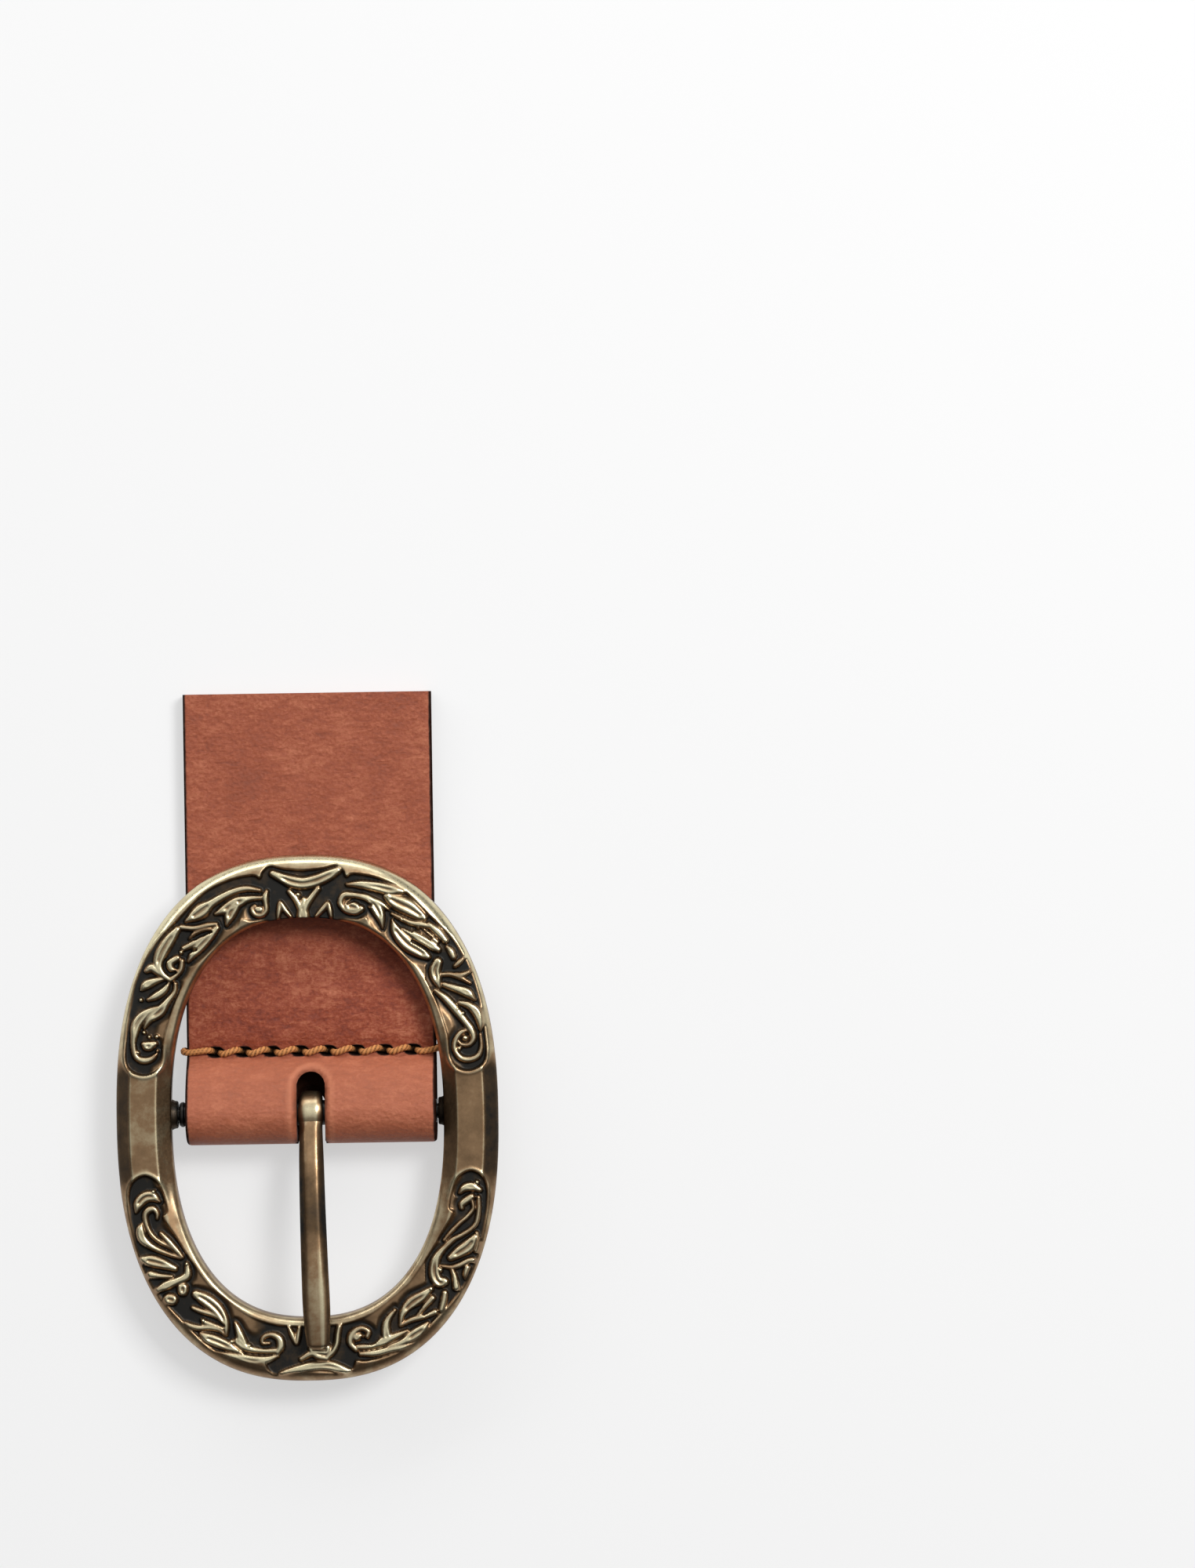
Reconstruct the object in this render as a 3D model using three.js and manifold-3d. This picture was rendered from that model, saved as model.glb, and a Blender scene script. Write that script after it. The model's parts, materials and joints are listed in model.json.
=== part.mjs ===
// A cast oval belt buckle with a centre bar, on the folded and sewn end of its leather strap.
// Millimetres. The buckle lies face up: +X to the right, +Y along the strap, +Z out of the face.
// The pieces are placed about the centre of the oval, and the group moves the whole to its origin,
// which is the middle of the underside's bounding box.

import * as THREE from "three";
import { mergeVertices } from "three/addons/utils/BufferGeometryUtils.js";
import Module from "manifold-3d";

const wasm = await Module();
wasm.setup();

// Driving dimensions

const CLEARANCE = 0.3; // between pieces that touch in the real buckle

const FRAME_W = 61;
const FRAME_H = 84;
const OPENING_W = 43.6;
const OPENING_H = 64;
const OVAL_POWER = 2.4; // 2 is an ellipse, and more is squarer
const OVAL_SIDES = 96;
const FRAME_BACK = 5; // height of the back face over the table
const FRAME_THICK = 4.6;
const FACE_BEVEL_W = 1.8;
const FACE_BEVEL_H = 1.6;
const BACK_BEVEL = 0.5;

const PANEL_DEPTH = 0.8; // of the two ornament panels, cut into the face
const PANEL_RIM = 0.5; // flat left beside each panel
const PANEL_END_ANGLE = 20; // degrees from the X axis to where a panel starts
const RELIEF_BELOW_FACE = 0.1;

const BAR_Y = 0.6; // from the centre of the oval
const BAR_Z = 4.95;
const BAR_R = 2;
const BAR_SPIGOT_R = 1.2;
const SPIGOT_REACH = 24.9; // half the length of the bar over its spigots
const LUG_R = 3;
const LUG_NOSE_R = 2.2;
const LUG_NOSE_X = 20.9;
const LUG_OUTER_X = 28;

const STRAP_W = 40;
const STRAP_THICK = 3;
const STRAP_SHIFT = 0.6; // the strap rests this far to the right on the bar
const STRAP_END = 67.4; // from the bar to the cut end
const FOLD_OUTER_R = 4.95;
const FOLD_INNER_R = BAR_R + CLEARANCE;
const FOLD_TOP_ANGLE = 75; // degrees round the bar from where the fold's circle runs into the strap
const SLOT_W = 5;
const SLOT_TOP = 6.7; // from the bar to the round end of the slot on the front
const SLOT_BACK = 4.6; // the same on the return flap
const STITCH_LINE = 9.9; // from the bar
const STITCH_HOLES = 8;
const STITCH_PITCH = 4.52;
const FIRST_HOLE = -15.4; // from the middle of the strap
const HOLE_W = 2.3;
const HOLE_H = 1.5;
const THREAD_R = 0.4;

const PRONG_EYE_R = 3.5;
const PRONG_EYE_W = 3.4;
const PRONG_X = 0.5; // of the eye, from the centre of the oval

const BARREL_SIDES = 32;
const TO_X_AXIS = new THREE.Matrix4().makeRotationZ(-Math.PI / 2); // a lathed or round piece laid along X

const FACE = FRAME_BACK + FRAME_THICK;
const DEG = Math.PI / 180;

// Finishes

const antiqueBrass = new THREE.MeshStandardMaterial({ color: 0x9a8a63, metalness: 1, roughness: 0.38 });
const darkSteel = new THREE.MeshStandardMaterial({ color: 0x4a4744, metalness: 1, roughness: 0.45 });
const tanLeather = new THREE.MeshStandardMaterial({ color: 0xa85a41, metalness: 0, roughness: 0.6 });
const tanThread = new THREE.MeshStandardMaterial({ color: 0xb9723f, metalness: 0, roughness: 0.8 });

// Joining and cutting

function toSolid(geometry) {
  const bare = geometry.clone();
  bare.deleteAttribute("normal");
  bare.deleteAttribute("uv");
  const merged = mergeVertices(bare, 1e-4);
  return new wasm.Manifold(
    new wasm.Mesh({
      numProp: 3,
      vertProperties: new Float32Array(merged.attributes.position.array),
      triVerts: new Uint32Array(merged.index.array),
    }),
  );
}

function toGeometry(solid) {
  const mesh = solid.getMesh();
  return new THREE.BufferGeometry()
    .setAttribute("position", new THREE.BufferAttribute(mesh.vertProperties, 3))
    .setIndex(new THREE.BufferAttribute(mesh.triVerts, 1));
}

function piece(name, geometry, material) {
  const mesh = new THREE.Mesh(geometry, material);
  mesh.name = name;
  return mesh;
}

// Outlines

// Distance from the centre to an oval of these half sizes, in a direction given by its angle.
function ovalRadius(halfWidth, halfHeight, angle) {
  const across = Math.abs(Math.cos(angle) / halfWidth) ** OVAL_POWER;
  const along = Math.abs(Math.sin(angle) / halfHeight) ** OVAL_POWER;
  return (across + along) ** (-1 / OVAL_POWER);
}

function ovalPoint(halfWidth, halfHeight, angle) {
  const radius = ovalRadius(halfWidth, halfHeight, angle);
  return new THREE.Vector2(radius * Math.cos(angle), radius * Math.sin(angle));
}

function ovalPoints(halfWidth, halfHeight) {
  const step = (2 * Math.PI) / OVAL_SIDES;
  return Array.from({ length: OVAL_SIDES }, (_, i) => ovalPoint(halfWidth, halfHeight, i * step));
}

function ringShape() {
  const shape = new THREE.Shape(ovalPoints(FRAME_W / 2, FRAME_H / 2));
  shape.holes.push(new THREE.Path(ovalPoints(OPENING_W / 2, OPENING_H / 2)));
  return shape;
}

// A long round-ended outline, centred, lying along X when it is wider than it is high.
function slotShape(width, height) {
  const radius = Math.min(width, height) / 2;
  const reachX = width / 2 - radius;
  const reachY = height / 2 - radius;
  const shape = new THREE.Shape();
  if (width > height) {
    shape.absarc(reachX, 0, radius, -Math.PI / 2, Math.PI / 2);
    shape.absarc(-reachX, 0, radius, Math.PI / 2, 1.5 * Math.PI);
  } else {
    shape.absarc(0, reachY, radius, 0, Math.PI);
    shape.absarc(0, -reachY, radius, Math.PI, 2 * Math.PI);
  }
  return shape;
}

// A curved stroke in the plane that swells from a thin start to its full width and thins again.
function strokeShape(points, width, steps = 8) {
  const line = new THREE.SplineCurve(points.map(([x, y]) => new THREE.Vector2(x, y)));
  const left = [];
  const right = [];
  for (let i = 0; i <= steps; i++) {
    const along = i / steps;
    const centre = line.getPointAt(along);
    const tangent = line.getTangentAt(along);
    const half = (width / 2) * (0.25 + 0.75 * Math.sin(Math.PI * along));
    left.push(new THREE.Vector2(centre.x - tangent.y * half, centre.y + tangent.x * half));
    right.unshift(new THREE.Vector2(centre.x + tangent.y * half, centre.y - tangent.x * half));
  }
  return new THREE.Shape([...left, ...right]);
}

// Frame: a bevelled oval ring, two sunk panels of scrolls and leaves, and two lugs for the bar

// The panel over one half of the ring (side is 1 for +Y and -1 for -Y), with round ends.
function panelShape(side) {
  const outerInset = FACE_BEVEL_W + PANEL_RIM;
  const outer = (angle) => ovalPoint(FRAME_W / 2 - outerInset, FRAME_H / 2 - outerInset, angle);
  const inner = (angle) => ovalPoint(OPENING_W / 2 + outerInset, OPENING_H / 2 + outerInset, angle);
  const steps = 40;
  const angles = Array.from(
    { length: steps + 1 },
    (_, i) => (PANEL_END_ANGLE + ((180 - 2 * PANEL_END_ANGLE) * i) / steps) * DEG,
  );
  const roundEnd = (from, to) => {
    const centre = from.clone().add(to).multiplyScalar(0.5);
    const radius = from.distanceTo(to) / 2;
    const start = Math.atan2(from.y - centre.y, from.x - centre.x);
    return [1, 2, 3, 4, 5].map((i) => {
      const turn = start + (i * Math.PI) / 6;
      return new THREE.Vector2(centre.x + radius * Math.cos(turn), centre.y + radius * Math.sin(turn));
    });
  };
  const first = angles[0];
  const last = angles[steps];
  const points = [
    ...angles.map(outer),
    ...roundEnd(outer(last), inner(last)),
    ...angles.toReversed().map(inner),
    ...roundEnd(inner(first), outer(first)),
  ];
  return new THREE.Shape(points.map((p) => new THREE.Vector2(p.x, side * p.y)));
}

// The main strokes over the +X half of the upper panel. The others are these turned or mirrored.
const LEAVES = [
  { points: [[5.2, 35.2], [6.9, 33.6], [8.6, 34.6], [8.2, 36.6], [6.2, 37.4]], width: 1.1 },
  { points: [[8.8, 37.2], [12.2, 36.4], [15.2, 34.2], [17.4, 31.4]], width: 1.5 },
  { points: [[10.2, 34.4], [13.0, 33.0], [15.0, 30.6], [16.4, 28.0]], width: 1.4 },
  { points: [[18.6, 31.2], [20.6, 28.2], [22.2, 24.6]], width: 2.2 },
  { points: [[18.4, 27.2], [20.0, 24.0], [21.2, 21.0]], width: 1.3 },
  { points: [[23.4, 24.0], [24.8, 20.4], [25.4, 16.6]], width: 1.5 },
  { points: [[22.4, 20.0], [23.6, 17.0], [23.8, 14.0]], width: 1.4 },
  { points: [[26.2, 15.4], [26.4, 12.4], [25.2, 10.4], [23.8, 11.4], [24.6, 12.8]], width: 1.1 },
];
const CRESCENT = [[-5.1, 39.4], [-2.5, 37.7], [0.4, 37.2], [3.3, 37.8], [5.9, 39.4]];
const FORK = [
  { points: [[-1.4, 36.0], [0.2, 34.6], [0.3, 33.4]], width: 0.9 },
  { points: [[2.0, 36.0], [0.4, 34.6], [0.3, 33.4]], width: 0.9 },
];

function reliefSolids() {
  const height = PANEL_DEPTH + RELIEF_BELOW_FACE;
  const raise = (shape) => {
    const geometry = new THREE.ExtrudeGeometry(shape, { depth: height, bevelEnabled: false });
    return toSolid(geometry.translate(0, 0, FACE - PANEL_DEPTH - 2 * RELIEF_BELOW_FACE));
  };
  const solids = [];
  for (const [flipX, flipY] of [[1, 1], [-1, 1], [1, -1], [-1, -1]]) {
    const flip = (points) => points.map(([x, y]) => [flipX * x, flipY * y]);
    for (const { points, width } of LEAVES) solids.push(raise(strokeShape(flip(points), width)));
  }
  for (const flipY of [1, -1]) {
    const flip = (points) => points.map(([x, y]) => [x, flipY * y]);
    solids.push(raise(strokeShape(flip(CRESCENT), 1.1)));
    for (const { points, width } of FORK) solids.push(raise(strokeShape(flip(points), width, 6)));
  }
  return solids;
}

// A lug on the +X rail: a round barrel under the rail whose flared nose carries the end of the bar.
function lugGeometry() {
  const wall = OPENING_W / 2;
  const profile = [
    [0, LUG_NOSE_X],
    [LUG_NOSE_R, LUG_NOSE_X],
    [LUG_NOSE_R + 0.25, (LUG_NOSE_X + wall) / 2],
    [LUG_R, wall],
    [LUG_R, LUG_OUTER_X - 2],
    [LUG_R * 0.8, LUG_OUTER_X - 0.7],
    [LUG_R * 0.4, LUG_OUTER_X],
    [0, LUG_OUTER_X],
  ];
  const lathe = new THREE.LatheGeometry(profile.map(([r, x]) => new THREE.Vector2(r, x)), BARREL_SIDES);
  return lathe.applyMatrix4(TO_X_AXIS).translate(0, BAR_Y, BAR_Z);
}

function blindHoleGeometry() {
  const from = LUG_NOSE_X - 1;
  const to = SPIGOT_REACH + CLEARANCE;
  const hole = new THREE.CylinderGeometry(BAR_SPIGOT_R + CLEARANCE, BAR_SPIGOT_R + CLEARANCE, to - from, 24);
  return hole.applyMatrix4(TO_X_AXIS).translate((from + to) / 2, BAR_Y, BAR_Z);
}

function frameGeometry() {
  const bevelled = (depth, width, height, bottom) =>
    toSolid(
      new THREE.ExtrudeGeometry(ringShape(), {
        depth,
        bevelThickness: height,
        bevelSize: width,
        bevelOffset: -width,
        bevelSegments: 1,
      }).translate(0, 0, bottom + height),
    );
  const upperDepth = FRAME_THICK - 2 * FACE_BEVEL_H - 0.6;
  const upper = bevelled(upperDepth, FACE_BEVEL_W, FACE_BEVEL_H, FRAME_BACK + 0.6);
  const lowerDepth = FRAME_THICK - FACE_BEVEL_H - 2 * BACK_BEVEL;
  const lower = bevelled(lowerDepth, BACK_BEVEL, BACK_BEVEL, FRAME_BACK);
  let frame = upper.add(lower);
  for (const side of [1, -1]) {
    const panel = new THREE.ExtrudeGeometry(panelShape(side), { depth: 2, bevelEnabled: false });
    frame = frame.subtract(toSolid(panel.translate(0, 0, FACE - PANEL_DEPTH)));
  }
  for (const relief of reliefSolids()) frame = frame.add(relief);
  const lug = toSolid(lugGeometry());
  frame = frame.add(lug).add(lug.mirror([1, 0, 0]));
  const hole = toSolid(blindHoleGeometry());
  return toGeometry(frame.subtract(hole).subtract(hole.mirror([1, 0, 0])));
}

// Bar: a steel rod with a turned-down spigot at each end

function barGeometry() {
  const shoulder = LUG_NOSE_X - CLEARANCE;
  const chamfer = 0.25;
  const half = [
    [BAR_R, shoulder - chamfer],
    [BAR_R - chamfer, shoulder],
    [BAR_SPIGOT_R, shoulder],
    [BAR_SPIGOT_R, SPIGOT_REACH - chamfer],
    [BAR_SPIGOT_R - chamfer, SPIGOT_REACH],
    [0, SPIGOT_REACH],
  ];
  const profile = [...half.toReversed().map(([r, x]) => [r, -x]), ...half];
  const lathe = new THREE.LatheGeometry(profile.map(([r, x]) => new THREE.Vector2(r, x)), BARREL_SIDES);
  return lathe.applyMatrix4(TO_X_AXIS);
}

// Prong: an eye that turns on the bar, and a bowed shank whose tip rests on the lower arc

// The middle of the shank: across, along and over the bar's axis, with its half width and half height there.
const SHANK = [
  { at: [0, 0.6, 2.5], half: [1.7, 0.6] },
  { at: [0.05, -2.2, 2.85], half: [1.8, 0.95] },
  { at: [0.15, -7.5, 4.3], half: [2.05, 1.25] },
  { at: [0.32, -15, 5.75], half: [2.1, 1.35] },
  { at: [0.55, -24, 6.5], half: [2.15, 1.3] },
  { at: [0.75, -31, 6.5], half: [2.2, 1.2] },
  { at: [0.9, -37.5, 5.95], half: [1.65, 0.95] },
];

function prongGeometry() {
  const line = new THREE.CatmullRomCurve3(SHANK.map(({ at }) => new THREE.Vector3(...at)));
  const sizes = new THREE.CatmullRomCurve3(SHANK.map(({ half }) => new THREE.Vector3(...half, 0)));
  const across = new THREE.Vector3(1, 0, 0);
  const rod = new THREE.CylinderGeometry(1, 1, 1, 16, 36);
  const places = rod.attributes.position;
  for (let i = 0; i < places.count; i++) {
    const along = THREE.MathUtils.clamp(0.5 - places.getY(i), 0, 1);
    const size = sizes.getPoint(along);
    const toTip = THREE.MathUtils.clamp((along - 0.95) / 0.05, 0, 0.94);
    const roundTip = Math.sqrt(1 - toTip ** 2);
    const up = new THREE.Vector3().crossVectors(across, line.getTangent(along)).negate().normalize();
    const squarer = (v) => Math.sign(v) * Math.abs(v) ** 0.75;
    const point = line
      .getPoint(along)
      .addScaledVector(across, squarer(places.getX(i)) * size.x * roundTip)
      .addScaledVector(up, squarer(places.getZ(i)) * size.y * roundTip);
    places.setXYZ(i, point.x, point.y, point.z);
  }
  const barrel = (radius, length) =>
    toSolid(new THREE.CylinderGeometry(radius, radius, length, BARREL_SIDES).applyMatrix4(TO_X_AXIS));
  const shank = toSolid(rod);
  const eye = barrel(PRONG_EYE_R, PRONG_EYE_W);
  return toGeometry(eye.add(shank).subtract(barrel(BAR_R + CLEARANCE, 3 * PRONG_EYE_W)));
}

// Strap end: one strip folded round the bar, with a skived return flap under the strap

// Section lines of the strip, along and over the table, measured from the bar.
const STRAP_TOP = [[1.28, 9.73], [4.5, 8.6], [7.2, 6.7], [8.8, 5.05], [STITCH_LINE, 4.3], [10.9, 4.55], [13.5, 4.7],
  [18, 4.5], [22, 3.9], [27, 3.25], [31, STRAP_THICK]];
const STRAP_UNDER = [[30, 0], [27, 0.3], [22, 1], [18, 1.6], [13.5, 1.85], [10.9, 2], [STITCH_LINE, 2.05],
  [8.8, 2.35], [7.2, 3.7], [4.5, 5.75], [0.6, 7.17]];
const FLAP_OVER = [[0.3, 2.66], [4, 2.6], [6.5, 2.3], [8.3, 1.75], [STITCH_LINE, 1.75], [13.5, 1.5], [18.4, 0.9]];
const FLAP_UNDER = [[18.4, 0], [11.6, 0], [10.9, 0.75], [STITCH_LINE, 1.15], [8.9, 0.75], [8.2, 0]];

// Points round the bar, from one angle in degrees to another.
function foldArc(radius, from, to) {
  const steps = 16;
  return Array.from({ length: steps + 1 }, (_, i) => {
    const angle = (from + ((to - from) * i) / steps) * DEG;
    return [radius * Math.cos(angle), BAR_Z + radius * Math.sin(angle)];
  });
}

function strapProfile() {
  const vectors = (points) => points.map(([y, z]) => new THREE.Vector2(y, z));
  const shape = new THREE.Shape();
  shape.moveTo(STRAP_END, STRAP_THICK);
  shape.lineTo(STRAP_END, 0);
  shape.lineTo(...STRAP_UNDER[0]);
  shape.splineThru(vectors(STRAP_UNDER.slice(1)));
  for (const point of foldArc(FOLD_INNER_R, FOLD_TOP_ANGLE, 278)) shape.lineTo(...point);
  shape.lineTo(...FLAP_OVER[0]);
  shape.splineThru(vectors(FLAP_OVER.slice(1)));
  for (const point of FLAP_UNDER) shape.lineTo(...point);
  for (const point of foldArc(FOLD_OUTER_R, 270, FOLD_TOP_ANGLE)) shape.lineTo(...point);
  shape.splineThru(vectors(STRAP_TOP.slice(1)));
  return shape;
}

// Local X, Y and Z of a section drawn in the plane become Y, Z and X.
const SECTION_TO_STRAP = new THREE.Matrix4().makeBasis(
  new THREE.Vector3(0, 1, 0),
  new THREE.Vector3(0, 0, 1),
  new THREE.Vector3(1, 0, 0),
);

function holeX(i) {
  return FIRST_HOLE + i * STITCH_PITCH;
}

function strapGeometry() {
  const strip = new THREE.ExtrudeGeometry(strapProfile(), {
    depth: STRAP_W,
    bevelEnabled: false,
    curveSegments: 2,
  });
  let strap = toSolid(strip.translate(0, 0, -STRAP_W / 2).applyMatrix4(SECTION_TO_STRAP));
  const cut = (shape, x, y, from, to) => {
    const tool = new THREE.ExtrudeGeometry(shape, { depth: to - from, bevelEnabled: false, curveSegments: 6 });
    strap = strap.subtract(toSolid(tool.translate(x, y, from)));
  };
  const slot = (reach) => slotShape(SLOT_W, reach + 2 * FOLD_OUTER_R);
  cut(slot(SLOT_TOP), 0, SLOT_TOP / 2 - FOLD_OUTER_R, BAR_Z - 1.5, 2 * BAR_Z + 1);
  cut(slot(SLOT_BACK), 0, SLOT_BACK / 2 - FOLD_OUTER_R, -1, BAR_Z - 1);
  for (let i = 0; i < STITCH_HOLES; i++) cut(slotShape(HOLE_W, HOLE_H), holeX(i), STITCH_LINE, -1, 8);
  return toGeometry(strap);
}

// Threads: each runs the width of the strap, dips into every hole and turns over both edges

function threadGeometry(surface, dip, edgeStop) {
  const edge = STRAP_W / 2 + THREAD_R + CLEARANCE / 2;
  const outside = surface + Math.sign(surface - dip) * (THREAD_R + CLEARANCE / 2);
  const half = HOLE_W / 2;
  const shoulder = edge - 0.9;
  const points = [[-edge, edgeStop], [-edge, (outside + edgeStop) / 2], [-shoulder, outside]];
  for (let i = 0; i < STITCH_HOLES; i++) {
    points.push([holeX(i) - half, outside], [holeX(i), dip], [holeX(i) + half, outside]);
  }
  points.push([shoulder, outside], [edge, (outside + edgeStop) / 2], [edge, edgeStop]);
  const line = new THREE.CatmullRomCurve3(points.map(([x, z]) => new THREE.Vector3(x, 0, z)));
  const section = new THREE.Shape().absarc(0, 0, THREAD_R, 0, 2 * Math.PI);
  return new THREE.ExtrudeGeometry(section, { steps: 90, curveSegments: 3, extrudePath: line });
}

// Assembly

const buckle = new THREE.Group();
buckle.position.y = -(BAR_Y + STRAP_END - FRAME_H / 2) / 2;

buckle.add(piece("frame", frameGeometry(), antiqueBrass));

const bar = piece("bar", barGeometry(), darkSteel);
bar.position.set(0, BAR_Y, BAR_Z);
buckle.add(bar);

const prong = piece("prong", prongGeometry(), antiqueBrass);
prong.position.set(PRONG_X, BAR_Y, BAR_Z);
buckle.add(prong);

const strap = new THREE.Group();
strap.position.set(STRAP_SHIFT, BAR_Y, 0);
strap.add(piece("strap_end", strapGeometry(), tanLeather));
for (const [name, surface, dip, edgeStop] of [
  ["needle_thread", 4.45, 2.95, 2.75],
  ["bobbin_thread", 1, 1.8, 1.55],
]) {
  const thread = piece(name, threadGeometry(surface, dip, edgeStop), tanThread);
  thread.position.y = STITCH_LINE;
  strap.add(thread);
}
buckle.add(strap);

export default buckle;
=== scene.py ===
"""An oval centre-bar belt buckle on the folded, sewn end of its leather strap.

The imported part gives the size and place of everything, and each operator builds the finished look of one
piece, or of a group of like pieces, around it. Lengths are in millimetres until a mesh is finished, and
then in metres. The strap runs along +Y, and Z is the height over the table. The relief's places are
measured from the middle of the oval.
"""

import json
import math

import bmesh
import bpy
import numpy as np
from bpy.props import FloatProperty, FloatVectorProperty, PointerProperty
from mathutils import Matrix, Vector


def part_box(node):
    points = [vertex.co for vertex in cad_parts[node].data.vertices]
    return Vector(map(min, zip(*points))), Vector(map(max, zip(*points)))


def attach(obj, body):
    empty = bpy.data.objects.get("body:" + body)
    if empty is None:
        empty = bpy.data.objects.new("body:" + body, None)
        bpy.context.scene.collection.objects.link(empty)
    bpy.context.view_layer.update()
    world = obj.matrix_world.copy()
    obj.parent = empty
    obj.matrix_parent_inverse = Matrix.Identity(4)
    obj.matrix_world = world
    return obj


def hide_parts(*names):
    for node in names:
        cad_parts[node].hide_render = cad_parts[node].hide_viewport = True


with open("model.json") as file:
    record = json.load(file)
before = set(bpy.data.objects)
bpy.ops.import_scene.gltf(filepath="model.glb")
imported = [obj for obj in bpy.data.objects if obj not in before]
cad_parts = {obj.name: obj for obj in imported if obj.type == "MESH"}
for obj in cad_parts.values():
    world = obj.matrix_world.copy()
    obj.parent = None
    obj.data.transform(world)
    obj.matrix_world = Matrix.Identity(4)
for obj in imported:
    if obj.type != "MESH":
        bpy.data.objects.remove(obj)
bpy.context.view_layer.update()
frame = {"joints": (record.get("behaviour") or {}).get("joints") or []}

bl_info = {
    "name": "Oval Belt Buckle",
    "version": (1, 0, 0),
    "blender": (4, 5, 0),
    "location": "3D View > Sidebar > Buckle",
    "description": "Builds a cast belt buckle on a sewn leather strap end",
    "category": "Add Mesh",
}

MM = 0.001


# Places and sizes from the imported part, in millimetres


def node_box(name):
    low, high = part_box(name)
    return np.array(low) / MM, np.array(high) / MM


def joint_point(name):
    return next(np.array(j["pos_m"]) / MM for j in frame["joints"] if j["name"] == name)


FRAME_LOW, FRAME_HIGH = node_box("frame")
STRAP_LOW, STRAP_HIGH = node_box("strap_end")
BAR_END = node_box("bar")[1][0]
OVAL_CENTRE_Y = (FRAME_LOW[1] + FRAME_HIGH[1]) / 2
BAR_Y = joint_point("frame_tilt")[1]
BAR_Z = joint_point("frame_tilt")[2]
STRAP_X = (STRAP_LOW[0] + STRAP_HIGH[0]) / 2
STRAP_W = STRAP_HIGH[0] - STRAP_LOW[0]
STRAP_END_Y = STRAP_HIGH[1]

OVAL_POWER = 2.4  # 2 is an ellipse, and more is squarer
FACE_Z = 9.6
FRAME_BACK_Z = 5.0


# Properties


def length(name, description, millimetres, most=100):
    return FloatProperty(
        name=name,
        description=description,
        default=millimetres * MM,
        min=0,
        max=most * MM,
        unit="LENGTH",
        subtype="DISTANCE",
    )


def linear(hex_code):
    """Scene-linear red, green and blue of an sRGB hex colour."""
    parts = [int(hex_code[i : i + 2], 16) / 255 for i in (1, 3, 5)]
    return tuple(v / 12.92 if v <= 0.04045 else ((v + 0.055) / 1.055) ** 2.4 for v in parts)


def colour(name, description, hex_code):
    return FloatVectorProperty(
        name=name,
        description=description,
        default=linear(hex_code),
        size=3,
        min=0,
        max=1,
        subtype="COLOR",
    )


class BuckleMetalSettings(bpy.types.PropertyGroup):
    """Sizes and colours of the metal pieces."""

    opening_width: length("Opening width", "Width of the opening in the ring", 43.6)
    opening_height: length("Opening height", "Height of the opening in the ring", 64)
    relief_depth: length("Relief depth", "Depth of the ground below the face", 0.9, 2)
    prong_width: length("Prong width", "Widest part of the prong's shank", 4.35, 8)
    # The brass colour also paints highlights, and the darker tones paint shade, on the ring and the prong.
    brass: colour("Brass", "Brushed high spots of the antique brass", "#e4d9b4")
    olive: colour("Olive", "Toned brass on the slopes", "#94785a")
    patina: colour("Patina", "Blackened brass in the hollows", "#2f2e2c")
    gunmetal: colour("Gunmetal", "Plating of the bar", "#3b3937")


class BuckleStrapSettings(bpy.types.PropertyGroup):
    """Sizes and colours of the strap end and its threads."""

    edge_round: length("Edge rounding", "Width of the burnished rounding on the strap's edges", 0.75, 3)
    thread: length("Thread", "Diameter of the sewing thread", 1.06, 2)
    leather: colour("Leather", "Main colour of the grain side", "#8f4026")
    leather_dark: colour("Leather shade", "Darker clouds in the dye", "#6e2c1b")
    # This colour also paints the highlights round the slot's lip, over the fold and towards the ring's top.
    leather_light: colour("Leather light", "Pulled and rubbed places", "#bb7152")
    # Also the colour of painted shade in the stitch holes, the slot and under the fold.
    edge: colour("Edge", "Burnished edge dye", "#24130d")
    waxed_thread: colour("Waxed thread", "Light side of the thread", "#cf8d55")


class BuckleStageSettings(bpy.types.PropertyGroup):
    """Floor, light and camera."""

    floor: colour("Floor", "Colour of the plain floor", "#a4a4a4")
    lens: FloatProperty(name="Lens", description="Focal length", default=100, min=20, max=300, unit="CAMERA")
    frame_height: length("Frame height", "Height of what the camera sees", 251.6, 1000)


# Meshes


def numbered_grid(columns, rows):
    """A bmesh grid with this many steps each way, and each vertex's column and row."""
    bm = bmesh.new()
    bmesh.ops.create_grid(bm, x_segments=columns, y_segments=rows, size=1)
    flat = coordinates(bm)
    column = np.rint((flat[:, 0] + 1) / 2 * columns).astype(int)
    row = np.rint((flat[:, 1] + 1) / 2 * rows).astype(int)
    return bm, column, row


def store_shares(bm, name, shares):
    """Stores one number from 0 to 1 for each vertex, for a material to read."""
    layer = bm.verts.layers.float.new(name)
    for vert, value in zip(bm.verts, np.clip(shares, 0, 1)):
        vert[layer] = value


def close_seams(bm):
    """Welds the edges where a rolled grid meets itself, caps what stays open and turns the faces out."""
    bmesh.ops.remove_doubles(bm, verts=bm.verts, dist=1e-5)
    bmesh.ops.holes_fill(bm, edges=[e for e in bm.edges if e.is_boundary], sides=0)
    bmesh.ops.recalc_face_normals(bm, faces=bm.faces)


def coordinates(bm):
    return np.array([v.co for v in bm.verts])


def place(bm, points):
    for vert, point in zip(bm.verts, points):
        vert.co = point


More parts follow.
